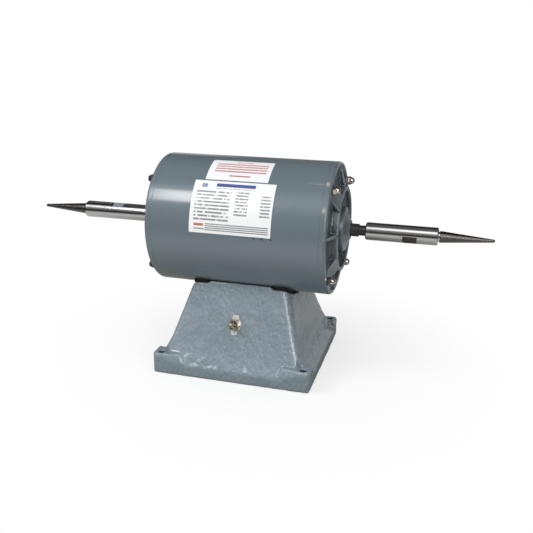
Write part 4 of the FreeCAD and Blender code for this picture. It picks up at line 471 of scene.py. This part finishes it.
RECIPES = {
    "shell_enamel": (shell_enamel, {}),
    "casting_enamel": (casting_enamel, {
        "light": (0.238, 0.296, 0.340), "dark": (0.188, 0.238, 0.277), "mark": CASTING_MARK,
    }),
    "bell_enamel": (casting_enamel, {
        "light": (0.118, 0.150, 0.170), "dark": (0.086, 0.112, 0.128),
        "lump": 0.30, "coat": 0.35, "edge_highlight": 0.70, "reach": 0.024,
    }),
    "black_rubber": (dull, {
        "colour": grey(0.006), "second": grey(0.014), "low": 0.6, "high": 0.8, "specular": 0.2,
    }),
    "black_nylon": (dull, {
        "colour": (0.014, 0.014, 0.015), "second": (0.025, 0.025, 0.026),
        "low": 0.3, "high": 0.45, "scale": 500.0, "strength": 0.06,
    }),
    "phenolic": (dull, {
        "colour": (0.05, 0.028, 0.018), "second": (0.03, 0.016, 0.011),
        "low": 0.35, "high": 0.5, "scale": 350.0, "strength": 0.06,
    }),
    "nickel": (plain_metal, {"colour": (0.68, 0.63, 0.56), "low": 0.07, "high": 0.15, "strength": 0.02}),
    "satin_nickel": (plain_metal, {
        "colour": (0.86, 0.80, 0.70), "low": 0.22, "high": 0.32, "strength": 0.03,
    }),
    "zinc_steel": (plain_metal, {"colour": (0.60, 0.61, 0.62), "low": 0.25, "high": 0.42}),
    "black_steel": (dull, {
        "colour": (0.012, 0.012, 0.013), "second": (0.035, 0.034, 0.033),
        "low": 0.32, "high": 0.5, "scale": 220.0, "strength": 0.08, "specular": 0.6,
    }),
    "polished_steel": (turned_steel, {
        "colour": (0.66, 0.66, 0.65), "low": 0.11, "high": 0.17, "strength": 0.015, "dark_flat_side": "right",
    }),
    "taper_steel": (turned_steel, {
        "colour": (0.145, 0.134, 0.124), "low": 0.30, "high": 0.36, "ring": 900.0, "strength": 0.02,
    }),
    "spring_steel": (plain_metal, {"colour": (0.42, 0.43, 0.45), "low": 0.25, "high": 0.4}),
    "bearing_steel": (turned_steel, {"colour": (0.62, 0.63, 0.64), "low": 0.08, "high": 0.18}),
    "lamination_steel": (laminated, {}),
    "copper_winding": (wound, {}),
    "cast_aluminium": (plain_metal, {
        "colour": (0.60, 0.61, 0.62), "low": 0.35, "high": 0.5, "scale": 350.0, "strength": 0.2,
    }),
    "brass": (plain_metal, {"colour": (0.72, 0.52, 0.22), "low": 0.2, "high": 0.35}),
    "capacitor_can": (dull, {
        "colour": (0.015, 0.015, 0.017), "second": (0.02, 0.02, 0.022),
        "low": 0.25, "high": 0.35, "scale": 500.0, "strength": 0.05,
    }),
    "wire_insulation": (dull, {
        "colour": (0.10, 0.012, 0.01), "second": (0.14, 0.02, 0.016),
        "low": 0.3, "high": 0.45, "scale": 400.0, "strength": 0.05,
    }),
    "tag_metal": (plain_metal, {"colour": (0.90, 0.90, 0.88), "low": 0.42, "high": 0.55}),
    "plate_white": (plate_face, {
        "x_range": RATING_X, "angle_range": RATING_ANGLE, "layers": RATING_LAYERS,
    }),
    "notice_white": (plate_face, {
        "x_range": NOTICE_X, "angle_range": NOTICE_ANGLE, "layers": NOTICE_LAYERS,
    }),
}
FINISHES = {
    "end_bell_left": "bell_enamel", "end_bell_right": "bell_enamel",
    "toggle_nut": "satin_nickel", "toggle_bushing": "satin_nickel", "lock_washers": "black_steel",
}
materials = {name: make(name, **options) for name, (make, options) in RECIPES.items()}


def dress(obj, name):
    """Give an object one material."""
    obj.data.materials.clear()
    obj.data.materials.append(materials[name])


def dress_node(node, material):
    """Give every slot of a CAD node one material."""
    if not node.material_slots:
        node.data.materials.append(material)
    for slot in node.material_slots:
        slot.material = material


for row in frame["record"]["subparts"]:
    finish = FINISHES.get(row["node"], row["material_slot"])
    dress_node(nodes[row["node"]], materials[finish])


# ---------- mesh helpers ----------
def mesh_object(name, vertices, faces, sharp):
    """Smooth object whose edges stay sharp from an angle on."""
    mesh = bpy.data.meshes.new(name)
    mesh.from_pydata([tuple(v) for v in vertices], [], faces)
    mesh.update()
    bm = bmesh.new()
    bm.from_mesh(mesh)
    bmesh.ops.remove_doubles(bm, verts=bm.verts, dist=1e-7)
    bmesh.ops.recalc_face_normals(bm, faces=bm.faces)
    bm.to_mesh(mesh)
    bm.free()
    smooth(mesh, sharp)
    obj = bpy.data.objects.new(name, mesh)
    bpy.context.scene.collection.objects.link(obj)
    return obj


def smooth(mesh, sharp):
    mesh.polygons.foreach_set("use_smooth", [True] * len(mesh.polygons))
    mesh.set_sharp_from_angle(angle=math.radians(sharp))
    mesh.update()


def axis_point(x, radius, angle):
    """Point by its angle round the motor axis, in radians from the front up."""
    return (x, -radius * math.cos(angle), AXIS + radius * math.sin(angle))


def ring_faces(rings, segments):
    """Faces between rings of points that follow each other."""
    faces = []
    for i in range(rings - 1):
        for k in range(segments):
            a = i * segments + k
            b = i * segments + (k + 1) % segments
            faces.append((a, b, b + segments, a + segments))
    return faces


def lathe(name, profile, segments, sharp=28.0):
    """Closed solid of revolution from (x, radius) pairs; radius 0 closes it."""
    vertices = []
    for x, radius in profile:
        for k in range(segments):
            vertices.append(axis_point(x, radius, 2 * math.pi * k / segments))
    return mesh_object(name, vertices, ring_faces(len(profile), segments), sharp)


def baked(obj):
    """Apply an object's modifiers to its own mesh."""
    bpy.context.view_layer.update()
    graph = bpy.context.evaluated_depsgraph_get()
    mesh = bpy.data.meshes.new_from_object(obj.evaluated_get(graph))
    old = obj.data
    obj.modifiers.clear()
    obj.data = mesh
    bpy.data.meshes.remove(old)
    return obj


def cast_copy(node, voxel, rounds, wave=0.0, wave_size=0.0):
    """Softened copy of a cast node: remeshed, with eased edges and, where a
    wave is given, a slightly wavy skin."""
    obj = bpy.data.objects.new(node + "_cast", nodes[node].data.copy())
    bpy.context.scene.collection.objects.link(obj)
    obj.data.materials.clear()
    remesh = obj.modifiers.new("remesh", "REMESH")
    remesh.mode = "VOXEL"
    remesh.voxel_size = voxel
    remesh.use_smooth_shade = True
    ease = obj.modifiers.new("ease", "SMOOTH")
    ease.factor = 0.5
    ease.iterations = rounds
    if wave:
        texture = bpy.data.textures.new(node + "_wave", "CLOUDS")
        texture.noise_scale = wave_size
        texture.noise_depth = 1
        move = obj.modifiers.new("wave", "DISPLACE")
        move.texture = texture
        move.texture_coords = "GLOBAL"
        move.strength = wave
        move.mid_level = 0.75
    baked(obj)
    obj.data.polygons.foreach_set("use_smooth", [True] * len(obj.data.polygons))
    return obj


# ---------- castings ----------
def castings():
    casting = cast_copy("pedestal", voxel=0.0016, rounds=4, wave=0.0006, wave_size=0.012)
    dress(casting, "casting_enamel")
    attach(casting, "housing")
    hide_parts("pedestal")
    for word in SIDES:
        bell = cast_copy("end_bell_" + word, voxel=0.0010, rounds=1)
        dress(bell, "bell_enamel")
        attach(bell, "housing")
        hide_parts("end_bell_" + word)


# ---------- shell ----------
SHELL_WALL = 0.0025
SHELL_CHAMFER = 0.0001
RIM_SEAM = 0.00012
RIM_END = 0.005
RIM_WALL = 0.003
SHELL_SEGMENTS = 256


def shell():
    """Rolled shell with a fine chamfer at both ends."""
    inner, edge = SHELL_R - SHELL_WALL, SHELL_CHAMFER
    profile = [
        (-SHELL_END, inner), (-SHELL_END, SHELL_R - edge), (-SHELL_END + edge, SHELL_R),
        (SHELL_END - edge, SHELL_R), (SHELL_END, SHELL_R - edge), (SHELL_END, inner), (-SHELL_END, inner),
    ]
    obj = lathe("shell_wrap", profile, SHELL_SEGMENTS)
    dress(obj, "shell_enamel")
    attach(obj, "housing")
    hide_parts("motor_shell")


def rim_band(word):
    """Painted outer band of an end bell, meeting the shell at a fine seam."""
    start, end, inner = SHELL_END + RIM_SEAM, SHELL_END + RIM_END, SHELL_R - RIM_WALL
    profile = [(start, inner), (start, SHELL_R), (end, SHELL_R), (end, inner), (start, inner)]
    obj = lathe("rim_" + word, [(SIDES[word] * x, r) for x, r in profile], SHELL_SEGMENTS)
    dress(obj, "shell_enamel")
    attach(obj, "housing")
    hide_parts("end_bell_" + word)


# ---------- spindles ----------
SLEEVE_END = 0.2338
SLEEVE_CHAMFER = 0.0013
SLEEVE_RINGS = 28
SLEEVE_SEGMENTS = 128
SLEEVE_SHARP = 24.0
BORE_R = 0.00635
BORE_END = 0.206
BORE_POINT = 0.209
NECK_R = 0.0062
NECK_LENGTH = 0.002
CUTTER_DEPTH = 0.010
CUTTER_WIDTH = 0.03
TAPER_START = 0.2354
TAPER_R = 0.0072
TIP = 0.2987
TIP_R = 0.0019
TIP_RINGS = 6
TIP_POINT_R = 1e-6
THREAD_PITCH = 0.0013
THREAD_DEPTH = 0.00005
THREAD_CREST = 0.25
THREAD_STEPS = 520
THREAD_SEGMENTS = 72
THREAD_RUN_IN = 30.0
THREAD_RUN_OUT = 9.0


def sleeve_profile(start):
    """Outline of a sleeve from its bore round to its neck. The rings along it
    keep its faces short."""
    radius, chamfer, end = SLEEVE_R, SLEEVE_CHAMFER, SLEEVE_END
    run = (end - start - 2 * chamfer) / SLEEVE_RINGS
    neck_end = end + NECK_LENGTH
    return [
        (BORE_END, BORE_R), (start, BORE_R),
        (start, radius - chamfer), (start + chamfer * 0.3, radius - chamfer * 0.55),
        *((start + chamfer + run * i, radius) for i in range(SLEEVE_RINGS + 1)),
        (end - chamfer * 0.3, radius - chamfer * 0.55), (end, radius - chamfer),
        (end, NECK_R), (neck_end, NECK_R), (neck_end, 0.0),
        (BORE_POINT, 0.0), (BORE_END, BORE_R),
    ]


def cut_flat(obj, x, angle):
    """Cut one flat across a sleeve with a box."""
    cutter = bpy.data.objects.new("cut", bpy.data.meshes.new("cut"))
    depth = SLEEVE_R - FLAT_CUT + CUTTER_DEPTH / 2
    place = Matrix.Translation(Vector(axis_point(x, depth, angle)))
    size = Matrix.Diagonal((FLAT_LENGTH, CUTTER_DEPTH, CUTTER_WIDTH, 1.0))
    bm = bmesh.new()
    bmesh.ops.create_cube(bm, size=1.0)
    bm.transform(place @ Matrix.Rotation(-angle, 4, "X") @ size)
    bm.to_mesh(cutter.data)
    bm.free()
    bpy.context.scene.collection.objects.link(cutter)
    cut = obj.modifiers.new("flat", "BOOLEAN")
    cut.operation = "DIFFERENCE"
    cut.solver = "EXACT"
    cut.object = cutter
    baked(obj)
    bpy.data.objects.remove(cutter)


def sleeve(word):
    """Ground sleeve with its chamfers and two wrench flats."""
    side = SIDES[word]
    profile = [(side * x, r) for x, r in sleeve_profile(SLEEVE_START[word])]
    obj = lathe("sleeve_" + word, profile, SLEEVE_SEGMENTS, SLEEVE_SHARP)
    for turn in (0, 180):
        cut_flat(obj, side * FLAT_X[word], math.radians(FLAT_ANGLE[word] + turn))
    smooth(obj.data, SLEEVE_SHARP)
    dress(obj, "polished_steel")
    return obj


def thread_radius(share, x, turn):
    """Radius of the tapered thread, which fades in and out at its ends."""
    crest = TAPER_R + (TIP_R - TAPER_R) * share
    fade = min(1.0, (1 - share) * THREAD_RUN_OUT, share * THREAD_RUN_IN)
    phase = ((x - TAPER_START) / THREAD_PITCH - turn) % 1.0
    groove = max(0.0, abs(phase - 0.5) * 2.0 - THREAD_CREST) / (1.0 - THREAD_CREST)
    return crest - THREAD_DEPTH * (1 - fade * (1 - groove))


def taper(word):
    """Tapered point with a real helical thread, left-handed on the left."""
    side = SIDES[word]
    vertices = []
    for i in range(THREAD_STEPS + 1):
        share = i / THREAD_STEPS
        x = TAPER_START + (TIP - TIP_R - TAPER_START) * share
        for k in range(THREAD_SEGMENTS):
            turn = k / THREAD_SEGMENTS
            vertices.append(axis_point(side * x, thread_radius(share, x, turn), 2 * math.pi * turn))
    for step in range(1, TIP_RINGS + 1):
        lift = math.radians(90.0 / TIP_RINGS * step)
        x = TIP - TIP_R + TIP_R * math.sin(lift)
        radius = (TIP_R - THREAD_DEPTH) * math.cos(lift)
        for k in range(THREAD_SEGMENTS):
            turn = k / THREAD_SEGMENTS
            vertices.append(axis_point(side * x, max(TIP_POINT_R, radius), 2 * math.pi * turn))
    rings = len(vertices) // THREAD_SEGMENTS
    faces = ring_faces(rings, THREAD_SEGMENTS)
    faces.append(tuple(range(THREAD_SEGMENTS)))
    faces.append(tuple(range(len(vertices) - THREAD_SEGMENTS, len(vertices))))
    obj = mesh_object("taper_" + word, vertices, faces, 50.0)
    dress(obj, "taper_steel")
    return obj


def spindle(word):
    for piece in (sleeve(word), taper(word)):
        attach(piece, "rotor")
        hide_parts("spindle_" + word)


# ---------- floor ----------
# Reach is the distance from the middle of the foot. A fade goes between two
# places and gives the level at the first and at the second.
FLOOR_HALF = 1.3
FLOOR_Z = -0.0002
FLOOR_PAPER = (grey(0.93), grey(0.95))
FLOOR_BOUNCE = ((0.28, 0.29, 0.25), (0.82, 0.81, 0.76))
BOUNCE_Y = (-0.10, -0.35)
WHITE_BY_REACH = (0.12, 0.34, 0.68, 1.0)
MIRROR_BY_REACH = (0.16, 0.36, 0.0, 1.0)
GLOW_BY_REACH = (0.42, 0.85, 0.66, 0.20)
GLOW_BY_X = (-0.70, -0.55, 0.08, 1.0)
GLOW_BY_Y = (0.10, 0.30, 1.0, 0.75)


def floor_paper():
    """Paper that turns into the white background away from the foot, and gives
    back less light than it shows."""
    g = Graph("floor_paper")
    g.set(Roughness=0.9, Specular_IOR_Level=0.1)
    shown = g.rays("Is Camera Ray", "Is Transmission Ray")
    mirrored = g.rays("Is Glossy Ray")
    x, y, z = g.xyz()
    paper = g.mix(g.noise(3.0, 2.0), *FLOOR_PAPER)
    bounce = g.mix(g.map_range(y, *BOUNCE_Y, 0.0, 1.0), *FLOOR_BOUNCE)
    g.colour(g.mix(shown, bounce, paper))
    reach = g.math("SQRT", g.math("ADD", g.math("POWER", x, 2.0), g.math("POWER", y, 2.0)))
    white = g.math("MULTIPLY", shown, g.map_range(reach, *WHITE_BY_REACH))
    mirror = g.math("MULTIPLY", mirrored, g.map_range(reach, *MIRROR_BY_REACH))
    level = g.map_range(reach, *GLOW_BY_REACH)
    level = g.math("MULTIPLY", level, g.map_range(x, *GLOW_BY_X))
    level = g.math("MULTIPLY", level, g.map_range(y, *GLOW_BY_Y))
    glow = g.tree.nodes.new("ShaderNodeEmission")
    g.link(g.math("ADD", shown, g.math("MULTIPLY", mirrored, level)), glow.inputs["Strength"])
    share = g.math("MAXIMUM", white, mirror)
    g.link(g.mix_shader(share, g.shader.outputs[0], glow.outputs[0]), g.out.inputs["Surface"])
    return g.material


def floor():
    mesh = bpy.data.meshes.new("floor")
    half = FLOOR_HALF
    corners = [(-half, -half, 0), (half, -half, 0), (half, half, 0), (-half, half, 0)]
    mesh.from_pydata(corners, [], [(0, 1, 2, 3)])
    obj = bpy.data.objects.new("floor", mesh)
    obj.location.z = FLOOR_Z
    bpy.context.scene.collection.objects.link(obj)
    mesh.materials.append(floor_paper())


# ---------- studio ----------
# Levels of the room as (angle round the motor axis, level): what polished
# surfaces mirror, and what lights the rest.
STUDIO_SHINE = [
    (-180, 0.60), (-172, 0.10), (4, 0.03), (12, 0.12), (34, 0.36), (43, 1.05), (66, 1.05),
    (74, 0.15), (108, 0.12), (122, 0.04), (136, 0.01), (159, 0.02), (168, 0.60), (180, 0.60),
]
STUDIO_LIGHT = [
    (-180, 0.50), (-140, 0.30), (-60, 0.30), (-10, 0.62), (25, 0.84),
    (60, 0.48), (100, 0.36), (140, 0.56), (180, 0.60),
]
# Seen in reflections only, by the x of a direction and its angle round the
# motor: a dark gap, a bright band on the right, dark ends, two windows in
# front, a soft box, and a dark top for the left spindle with a glint in it.
GAP_X = -0.22
GAP_REACH = (0.07, 0.12)
GAP_SHARE = 0.15
GAP_LEVEL = 0.08
BAND_X = (-0.17, -0.10)
BAND_TURN = (46, 64)
BAND_LEVEL = 1.8
DARK_ENDS = (((-0.62, -0.80), 0.04), ((0.62, 0.85), 0.14))
WINDOWS = (((0.19, 0.52), (0.38, 0.64), 6.5), ((-0.95, -0.74), (0.12, 0.34), 2.0))
SOFTBOX_X = -0.368
SOFTBOX_REACH = (0.030, 0.060)
SOFTBOX_TURN = 50
SOFTBOX_TURN_REACH = (7.5, 12)
SOFTBOX_LEVEL = 13.5
TOP_X = (-0.425, -0.445)
TOP_TURN = (80, 186)
TOP_LEVEL = 0.025
GLINT_TURN = (124, 131)
GLINT_COLOUR = (0.50, 0.56, 0.62)
# The light that shades surfaces loses this share toward the right.
RIGHT_SHADE_X = (0.30, 0.90)
RIGHT_SHADE = 0.22


def studio_ramp(g, turn, stops):
    """Level by the angle round the motor axis: 0 in front, 90 above."""
    place = g.map_range(turn, -math.pi, math.pi, 0.0, 1.0)
    return g.ramp(place, [((degrees + 180) / 360, (level, level, level * 1.01)) for degrees, level in stops])


def inside_turn(g, turn, limits):
    low, high = (math.radians(limit) for limit in limits)
    return inside(g, turn, low, high)


def studio_shine(g, x, y, z, turn):
    """Dark and bright fields that give the polished steel its contrast."""
    gap = g.map_range(distance(g, x, GAP_X), *GAP_REACH, GAP_SHARE, 1.0)
    shine = g.mix(gap, grey(GAP_LEVEL), studio_ramp(g, turn, STUDIO_SHINE))
    band = g.math("MULTIPLY", inside_turn(g, turn, BAND_TURN), g.map_range(x, *BAND_X, 0.0, 1.0))
    shine = g.mix(band, shine, grey(BAND_LEVEL))
    for x_range, level in DARK_ENDS:
        shine = g.mix(g.map_range(x, *x_range, 0.0, 1.0), shine, grey(level))
    front = g.math("LESS_THAN", y, 0.0)
    for x_range, z_range, level in WINDOWS:
        pane = g.math("MULTIPLY", inside(g, x, *x_range), inside(g, z, *z_range))
        shine = g.mix(g.math("MULTIPLY", pane, front), shine, grey(level))
    full, none = (math.radians(angle) for angle in SOFTBOX_TURN_REACH)
    across = g.map_range(distance(g, x, SOFTBOX_X), *SOFTBOX_REACH, 1.0, 0.0)
    upward = g.map_range(distance(g, turn, math.radians(SOFTBOX_TURN)), full, none, 1.0, 0.0)
    shine = g.mix(g.math("MULTIPLY", across, upward), shine, grey(SOFTBOX_LEVEL))
    top = g.math("MULTIPLY", g.map_range(x, *TOP_X, 0.0, 1.0), inside_turn(g, turn, TOP_TURN))
    shine = g.mix(top, shine, grey(TOP_LEVEL))
    glint = g.math("MULTIPLY", top, inside_turn(g, turn, GLINT_TURN))
    return g.mix(glint, shine, GLINT_COLOUR)


def world():
    """White for the camera, a soft room for shading, and a studio with dark
    gaps for reflections."""
    studio = bpy.data.worlds.new("studio")
    bpy.context.scene.world = studio
    studio.use_nodes = True
    g = Nodes(studio.node_tree, "ShaderNodeOutputWorld", "Generated")
    x, y, z = g.xyz()
    turn = g.math("ARCTAN2", z, g.math("MULTIPLY", y, -1.0))
    shine = studio_shine(g, x, y, z, turn)
    shaded = g.map_range(x, *RIGHT_SHADE_X, 0.0, RIGHT_SHADE)
    light = g.mix(shaded, studio_ramp(g, turn, STUDIO_LIGHT), grey(0.0))
    unseen = g.mix(g.rays("Is Glossy Ray"), light, shine)
    colour = g.mix(g.rays("Is Camera Ray", "Is Transmission Ray"), unseen, grey(1.0))
    background = g.tree.nodes.new("ShaderNodeBackground")
    g.link(colour, background.inputs[0])
    g.link(background.outputs[0], g.out.inputs["Surface"])


def area_light(name, place, target, size, power, mirrored):
    """Rectangular lamp, which reflections show only where it is mirrored."""
    data = bpy.data.lights.new(name, "AREA")
    data.shape = "RECTANGLE"
    data.size, data.size_y = size
    data.energy = power
    obj = bpy.data.objects.new(name, data)
    obj.location = place
    obj.rotation_euler = (Vector(target) - Vector(place)).to_track_quat("-Z", "Y").to_euler()
    obj.visible_glossy = mirrored
    bpy.context.scene.collection.objects.link(obj)


def lamps():
    area_light("key", (-0.95, -0.62, 1.10), (-0.05, 0, 0.2), size=(0.45, 0.45), power=10.0, mirrored=False)
    area_light("top", (0.25, -0.35, 1.5), (0.05, 0, 0.15), size=(1.2, 0.8), power=5.0, mirrored=False)
    area_light("edge", (0.78, -1.04, 0.38), (0.07, -0.05, 0.08), size=(0.05, 0.7), power=2.6, mirrored=True)


# ---------- camera ----------
# Fitted to the photograph, with the focal length in pixels.
PHOTO_PIXELS = 533.0
FOCAL_PIXELS = 676.57
SENSOR = 36.0
CAMERA_PLACE = (0.24343, -0.80961, 0.39528)
CAMERA_TARGET = (0.02063, 0.0, 0.12407)
CAMERA_ROLL = 0.76


def camera():
    data = bpy.data.cameras.new("camera")
    data.sensor_fit = "HORIZONTAL"
    data.sensor_width = SENSOR
    data.lens = FOCAL_PIXELS / PHOTO_PIXELS * SENSOR
    data.clip_start = 0.01
    data.clip_end = 50.0
    obj = bpy.data.objects.new("camera", data)
    bpy.context.scene.collection.objects.link(obj)
    place = Vector(CAMERA_PLACE)
    forward = (Vector(CAMERA_TARGET) - place).normalized()
    right = forward.cross(Vector((0, 0, 1))).normalized()
    up = right.cross(forward)
    roll = math.radians(CAMERA_ROLL)
    turned_right = right * math.cos(roll) + up * math.sin(roll)
    turned_up = up * math.cos(roll) - right * math.sin(roll)
    rotation = Matrix((turned_right, turned_up, -forward)).transposed()
    obj.matrix_world = Matrix.Translation(place) @ rotation.to_4x4()
    bpy.context.scene.camera = obj


castings()
shell()
for word in SIDES:
    rim_band(word)
for word in SIDES:
    spindle(word)
floor()
world()
lamps()
camera()
bpy.context.scene.view_settings.view_transform = "Standard"
